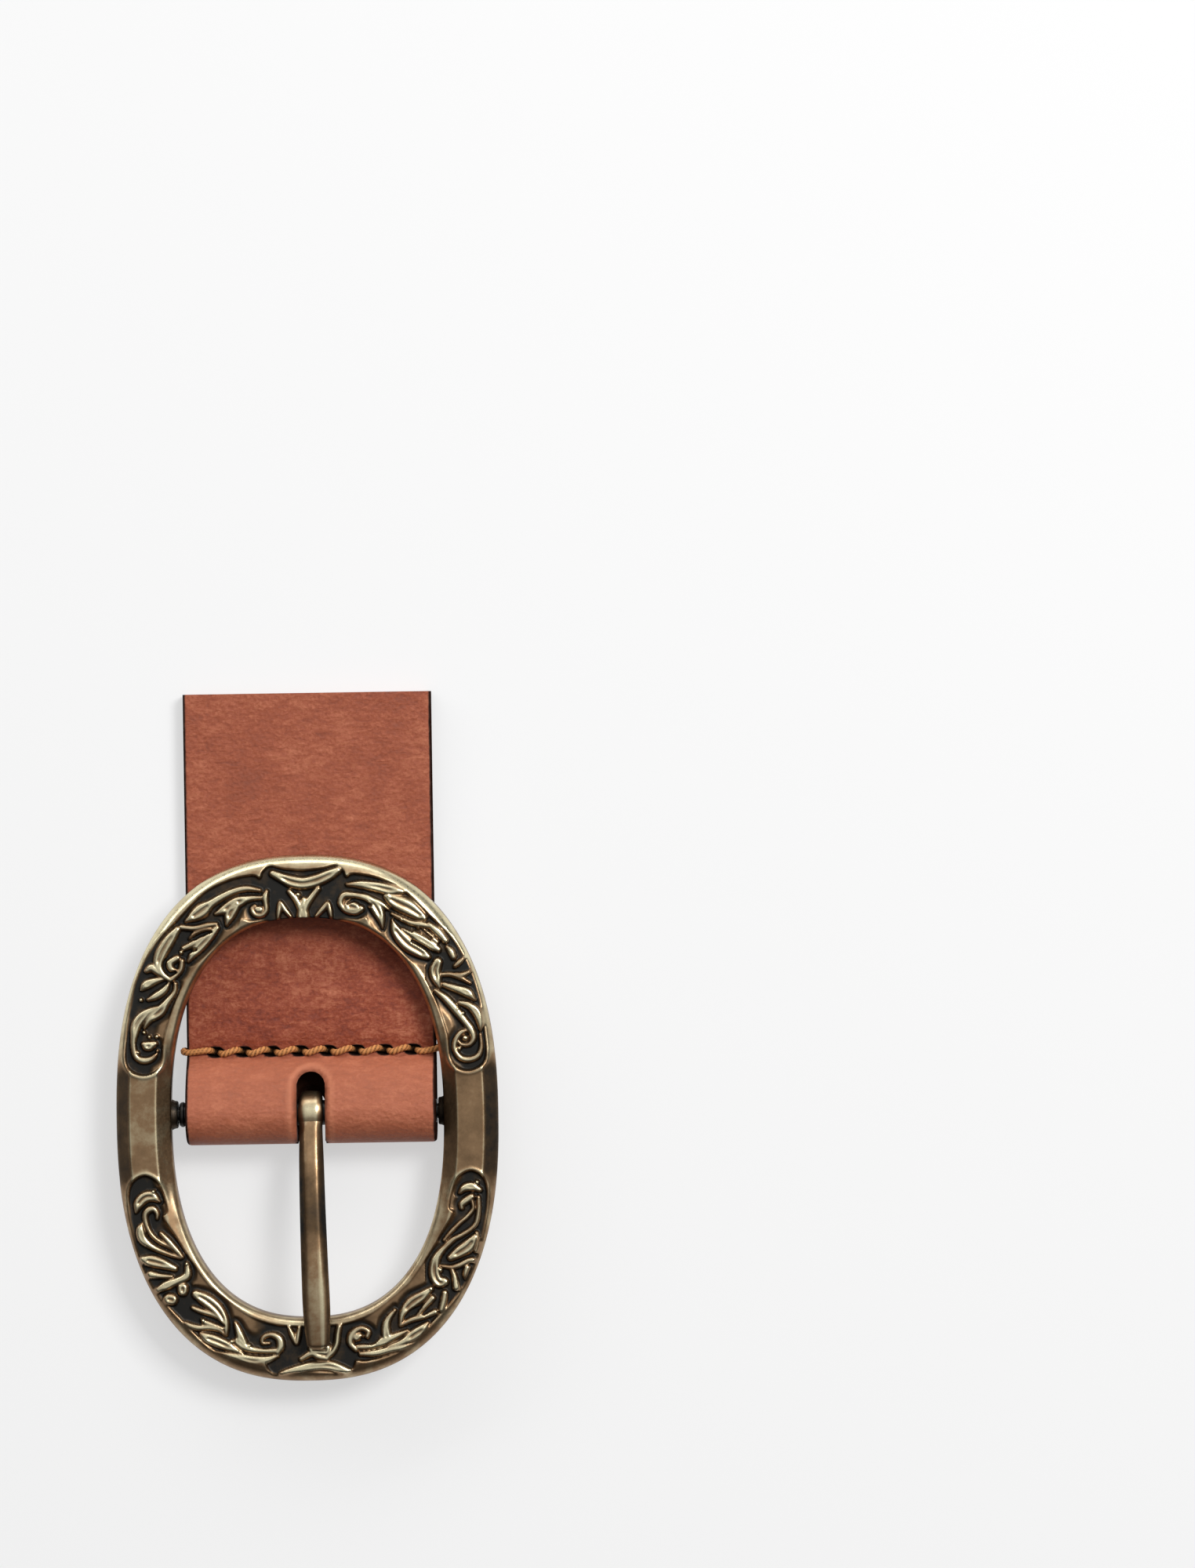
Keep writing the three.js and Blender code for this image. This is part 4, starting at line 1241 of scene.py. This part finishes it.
def soften_strap(mesh):
    """Pinches the leather at the stitches, rolls the slot's lip over and adds shallow waves."""
    points = mesh_points(mesh)
    x = points[:, 0] - STRAP_X
    y = points[:, 1] - BAR_Y
    z = points[:, 2]
    upper = (z > 2.9) & (y > -FOLD_OUTER_R)
    on_top = step(BAR_Z - 1, BAR_Z + 1.5, z) + (y > 8) * (z > 2.6)
    on_top = np.clip(on_top, 0, 1) * upper
    lip = np.clip(1 - slot_gap(x, y, SLOT_TOP) / 1.1, 0, 1)
    dip = 0.75 * lip**2 * on_top * (z > BAR_Z + 1.4) * step(-5, -2, y)
    for hole_x in HOLE_XS:
        gap = np.hypot((x - hole_x) / 1.5, (y - STITCH_Y) / 1.3)
        dip += 0.28 * np.exp(-(gap**2)) * on_top * (z > 3)
    waves = 0.05 * np.sin(0.9 * x + 1.3 * np.sin(0.31 * y)) * np.sin(0.55 * y + 0.4 * np.sin(0.5 * x))
    dip += waves * on_top * (np.abs(x) < STRAP_W / 2 - 0.5) * (y < STRAP_END_Y - BAR_Y - 1)
    points[:, 2] -= dip
    # The flap's inner side is pared round its slot, so that the prong's eye clears it.
    back_gap = slot_gap(x + STRAP_X - PRONG_EYE_X, y, SLOT_BACK, SLOT_BACK_HALF)
    inner = (z > 1.2) & (z < 2.9) & (y > -2) & (y < 6)
    points[:, 2] -= PARING * step(1.3, 0.6, back_gap) * inner
    mesh.vertices.foreach_set("co", (points * MM).astype(np.float32).ravel())
    mesh.update()


def strap_shares(mesh):
    """Marks the dyed edges, painted shade in the stitch holes, in and round the slot and under the fold, and
    painted highlights round the slot's lip, over the fold and towards the ring's top.
    """
    points = mesh_points(mesh)
    x = points[:, 0] - STRAP_X
    y = points[:, 1] - BAR_Y
    z = points[:, 2]
    edge = step(STRAP_W / 2 - 0.75, STRAP_W / 2 - 0.1, np.abs(x))
    slot = slot_gap(x, y, SLOT_TOP)
    # The slot's cut walls carry a little edge dye near the face, and painted shade makes their inner half
    # fully dark.
    on_wall = (np.abs(slot) < 0.05) & (z > 3)
    inner_side = z < np.interp(y, [-3, 0, 1.3, 4.5, 7.2], [BAR_Z + 2, BAR_Z + 3.6, BAR_Z + 3.5, 7.2, 5.2])
    edge = np.maximum(edge, on_wall * np.where(inner_side, 1, 0.25))
    # Painted shade on the layers below the bar round the slot.
    edge = np.maximum(edge, step(0.9, 0.2, slot) * (z < BAR_Z) * (z > 1.2))
    # Painted shade: the stitch holes are dark all through.
    for hole_x in HOLE_XS:
        gap = np.hypot((x - hole_x) / HOLE_SIZE[0], (y - STITCH_Y) / HOLE_SIZE[1])
        edge = np.maximum(edge, 0.95 * step(0.72, 0.5, gap))
    fold_shade = 0.45 * step(BAR_Z + 1.8, BAR_Z - 1, z) * (y < 0)
    edge = np.maximum(edge, fold_shade)
    # Painted shade at the slot's mouth on top.
    edge = np.maximum(edge, 0.42 * step(0.9, 0.1, slot) * (z > BAR_Z))
    # Painted highlights: a light ring just outside the slot, a light crown over the fold up to the stitches,
    # and a lighter band on the strap towards the ring's top.
    lip = np.exp(-(((slot - 1) / 0.3) ** 2)) * (z > BAR_Z)
    crown = 0.54 * step(STITCH_Y + 1.5, STITCH_Y - 2, y) * (z > 3) + 0.25 * step(24, 34, y)
    set_shares(mesh, "edge", edge)
    set_shares(mesh, "painted_highlight", 0.9 * lip + crown)


class BUCKLE_OT_add_strap(bpy.types.Operator):
    """Add the leather strap end, folded round the bar, with its slot and stitch holes"""

    bl_idname = "buckle.add_strap"
    bl_label = "Add Strap End"

    def execute(self, context):
        settings = context.scene.buckle_strap
        bm = strip_bmesh(settings.edge_round / MM)
        strap = add_piece("folded_strap", bm, "strap", tan_leather(settings))
        soften_strap(strap.data)
        slot_and_holes = slot_cutter(STRAP_X, SLOT_HALF, SLOT_TOP, BAR_Z - 1.5, 12)
        for hole_x in HOLE_XS:
            for low, high in HOLE_HEIGHTS:
                hole = round_slot_bmesh(*HOLE_SIZE, low, high)
                bmesh.ops.translate(hole, verts=hole.verts, vec=(STRAP_X + hole_x, BAR_Y + STITCH_Y, 0))
                join(slot_and_holes, hole)
        flap_slot = slot_cutter(PRONG_EYE_X, SLOT_BACK_HALF, SLOT_BACK, -1, BAR_Z - 1)
        cut_from(strap, [slot_and_holes, flap_slot])
        strap.data.shade_smooth()
        strap.data.set_sharp_from_angle(angle=math.radians(45))
        strap_shares(strap.data)
        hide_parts("strap_end")
        return {"FINISHED"}


# Threads


THREAD_SIDES = 24
# Node, then the heights of its middle along a stitch, in a hole and at its ends, then its stitches' lean.
THREAD_RUNS = (("needle_thread", 4.85, 2.75, 2.75, 0.32), ("bobbin_thread", 0.58, 1.75, 1.55, -0.1))
PLIES = 3
TWIST = 1.9  # millimetres for one turn of the plies


def thread_line(outside, dip, edge_stop, lean):
    """The thread's middle, over the leather between the holes, down into each, and round both edges."""
    edge = STRAP_W / 2 + 0.5
    half = HOLE_SIZE[0] / 2
    halfway = (outside + edge_stop) / 2
    points = [(-edge, 0.3, edge_stop), (-edge - 0.05, 0.1, halfway), (-edge + 0.8, 0, outside)]
    for hole_x in HOLE_XS:
        points += [(hole_x - half, lean, outside), (hole_x - 0.45, 0.2 * lean, dip)]
        points += [(hole_x + 0.45, -0.2 * lean, dip), (hole_x + half, -lean, outside)]
    points += [(edge - 0.8, 0, outside), (edge + 0.05, 0.2, halfway), (edge, 0.5, edge_stop)]
    return curve_through(points, 11)


def thread_bmesh(line, outside, dip, diameter):
    centres = line + (STRAP_X, BAR_Y + STITCH_Y, 0)
    ups = np.broadcast_to((0.0, 1.0, 0.0), centres.shape)
    travelled = np.concatenate([[0], np.cumsum(np.linalg.norm(np.diff(centres, axis=0), axis=1))])
    turn = 2 * math.pi * travelled / TWIST
    end = np.minimum(travelled, travelled[-1] - travelled)
    closing = np.sqrt(np.clip(1 - np.clip(1 - end / 0.3, 0, 0.98) ** 2, 0, 1))

    def section(station, angle):
        lobe = np.abs(np.cos(PLIES / 2 * (angle - turn[station])))
        radius = diameter / 2 * (0.68 + 0.32 * lobe**0.7) * closing[station]
        # Painted shade between the plies, and where the thread sinks into a hole.
        sunk = step(0.1, 0.9, (outside - centres[station, 2]) / (outside - dip)) * (end[station] > 2)
        return radius * np.cos(angle), radius * np.sin(angle), np.maximum(1 - lobe**0.8, sunk)

    return sweep(THREAD_SIDES, centres, ups, section, "groove")


class BUCKLE_OT_add_threads(bpy.types.Operator):
    """Add the two threads of the seam: the needle thread in front and the bobbin thread behind"""

    bl_idname = "buckle.add_threads"
    bl_label = "Add Threads"

    def execute(self, context):
        settings = context.scene.buckle_strap
        linen = waxed_linen(settings)
        diameter = settings.thread / MM
        for node, outside, dip, edge_stop, lean in THREAD_RUNS:
            line = thread_line(outside, dip, edge_stop, lean)
            bm = thread_bmesh(line, outside, dip, diameter)
            piece = add_piece(node + "_twist", bm, "strap", linen, sharp_angle=180)
            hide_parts(node)
        return {"FINISHED"}


# Stage


CAMERA_AIM = (47.2, 39.6, 5)  # the middle of what the camera sees, from the part's origin
CAMERA_ROLL = -0.9  # degrees
SENSOR = 36
DOME_AXIS = (0.05, 0.4, 1)  # where the dome is brightest
DOME_STRENGTH = 0.9
BACKDROP = (0.8, 0.8, 0.8, 1)  # what the camera sees past the floor
FLOOR_HALF = 3  # metres
FLOOR_Z = -0.0002  # metres, just under the strap
# Name, place and size in metres, and watts. Each light faces the origin.
AREA_LIGHTS = (
    ("key", (0.5, 0.42, 0.8), (0.36, 0.36), 7.5),
    ("back_strip", (-0.4, 0.9, 0.42), (1.9, 0.28), 6.6),
)


def add_area_light(name, place_at, size, watts):
    light = bpy.data.lights.new(name, "AREA")
    light.shape = "RECTANGLE"
    light.size, light.size_y = size
    light.energy = watts
    lamp = bpy.data.objects.new(name, light)
    lamp.location = place_at
    lamp.rotation_euler = (-Vector(place_at)).to_track_quat("-Z", "Y").to_euler()
    bpy.context.scene.collection.objects.link(lamp)


def studio_world():
    """A soft dome, brightest overhead and a little to the back. The camera sees a plain backdrop instead."""
    world = bpy.data.worlds.new("studio")
    world.use_nodes = True
    background = world.node_tree.nodes["Background"]
    direction = add_node(world, "TexCoord").outputs["Generated"]
    towards = add_node(
        world, "VectorMath", {"operation": "DOT_PRODUCT", 1: Vector(DOME_AXIS).normalized()}, {0: direction}
    ).outputs["Value"]
    glow = ramp(world, towards, (0.0, (0.03,) * 3), (0.5, (0.09,) * 3), (0.78, (0.6,) * 3), (1.0, (0.8,) * 3))
    seen = add_node(world, "LightPath").outputs["Is Camera Ray"]
    shown = add_node(
        world, "Mix", {"data_type": "RGBA", 7: BACKDROP}, {0: seen, 6: glow}
    ).outputs[2]
    world.node_tree.links.new(shown, background.inputs["Color"])
    background.inputs["Strength"].default_value = DOME_STRENGTH
    return world


class BUCKLE_OT_add_stage(bpy.types.Operator):
    """Add the plain floor, the soft light and the camera"""

    bl_idname = "buckle.add_stage"
    bl_label = "Add Stage"

    def execute(self, context):
        settings = context.scene.buckle_stage
        scene = context.scene
        bm = bmesh.new()
        bmesh.ops.create_grid(bm, x_segments=2, y_segments=2, size=FLOOR_HALF)
        bmesh.ops.translate(bm, verts=bm.verts, vec=(0, 0, FLOOR_Z))
        mesh = bpy.data.meshes.new("floor")
        bm.to_mesh(mesh)
        bm.free()
        mesh.materials.append(glowing_floor_material(settings))
        floor = bpy.data.objects.new("floor", mesh)
        scene.collection.objects.link(floor)

        scene.world = studio_world()
        for light in AREA_LIGHTS:
            add_area_light(*light)
        scene.view_settings.view_transform = "Standard"

        lens = bpy.data.cameras.new("camera")
        lens.sensor_width = SENSOR
        lens.lens = settings.lens
        camera = bpy.data.objects.new("camera", lens)
        distance = settings.lens / SENSOR * settings.frame_height
        camera.location = Vector(CAMERA_AIM) * MM + Vector((0, 0, distance))
        camera.rotation_euler = (0, 0, math.radians(CAMERA_ROLL))
        lens.clip_start = 0.01
        scene.collection.objects.link(camera)
        scene.camera = camera
        return {"FINISHED"}


# Panel and registration


class BUCKLE_PT_pieces(bpy.types.Panel):
    """Lists the pieces of the buckle"""

    bl_label = "Belt Buckle"
    bl_idname = "BUCKLE_PT_pieces"
    bl_space_type = "VIEW_3D"
    bl_region_type = "UI"
    bl_category = "Buckle"

    def draw(self, context):
        for operator in OPERATORS:
            self.layout.operator(operator.bl_idname)
        for group in (context.scene.buckle_metal, context.scene.buckle_strap, context.scene.buckle_stage):
            for name in group.__annotations__:
                self.layout.prop(group, name)


OPERATORS = (
    BUCKLE_OT_add_stage,
    BUCKLE_OT_add_frame,
    BUCKLE_OT_add_bar,
    BUCKLE_OT_add_prong,
    BUCKLE_OT_add_strap,
    BUCKLE_OT_add_threads,
)
SETTINGS = {
    "buckle_metal": BuckleMetalSettings,
    "buckle_strap": BuckleStrapSettings,
    "buckle_stage": BuckleStageSettings,
}


def register():
    for cls in (*SETTINGS.values(), *OPERATORS, BUCKLE_PT_pieces):
        bpy.utils.register_class(cls)
    for name, group in SETTINGS.items():
        setattr(bpy.types.Scene, name, PointerProperty(type=group))


def unregister():
    for name in SETTINGS:
        delattr(bpy.types.Scene, name)
    for cls in (BUCKLE_PT_pieces, *reversed(OPERATORS), *SETTINGS.values()):
        bpy.utils.unregister_class(cls)


def main():
    register()
    bpy.ops.buckle.add_stage()
    bpy.ops.buckle.add_frame()
    bpy.ops.buckle.add_bar()
    bpy.ops.buckle.add_prong()
    bpy.ops.buckle.add_strap()
    bpy.ops.buckle.add_threads()


if __name__ == "__main__":
    main()
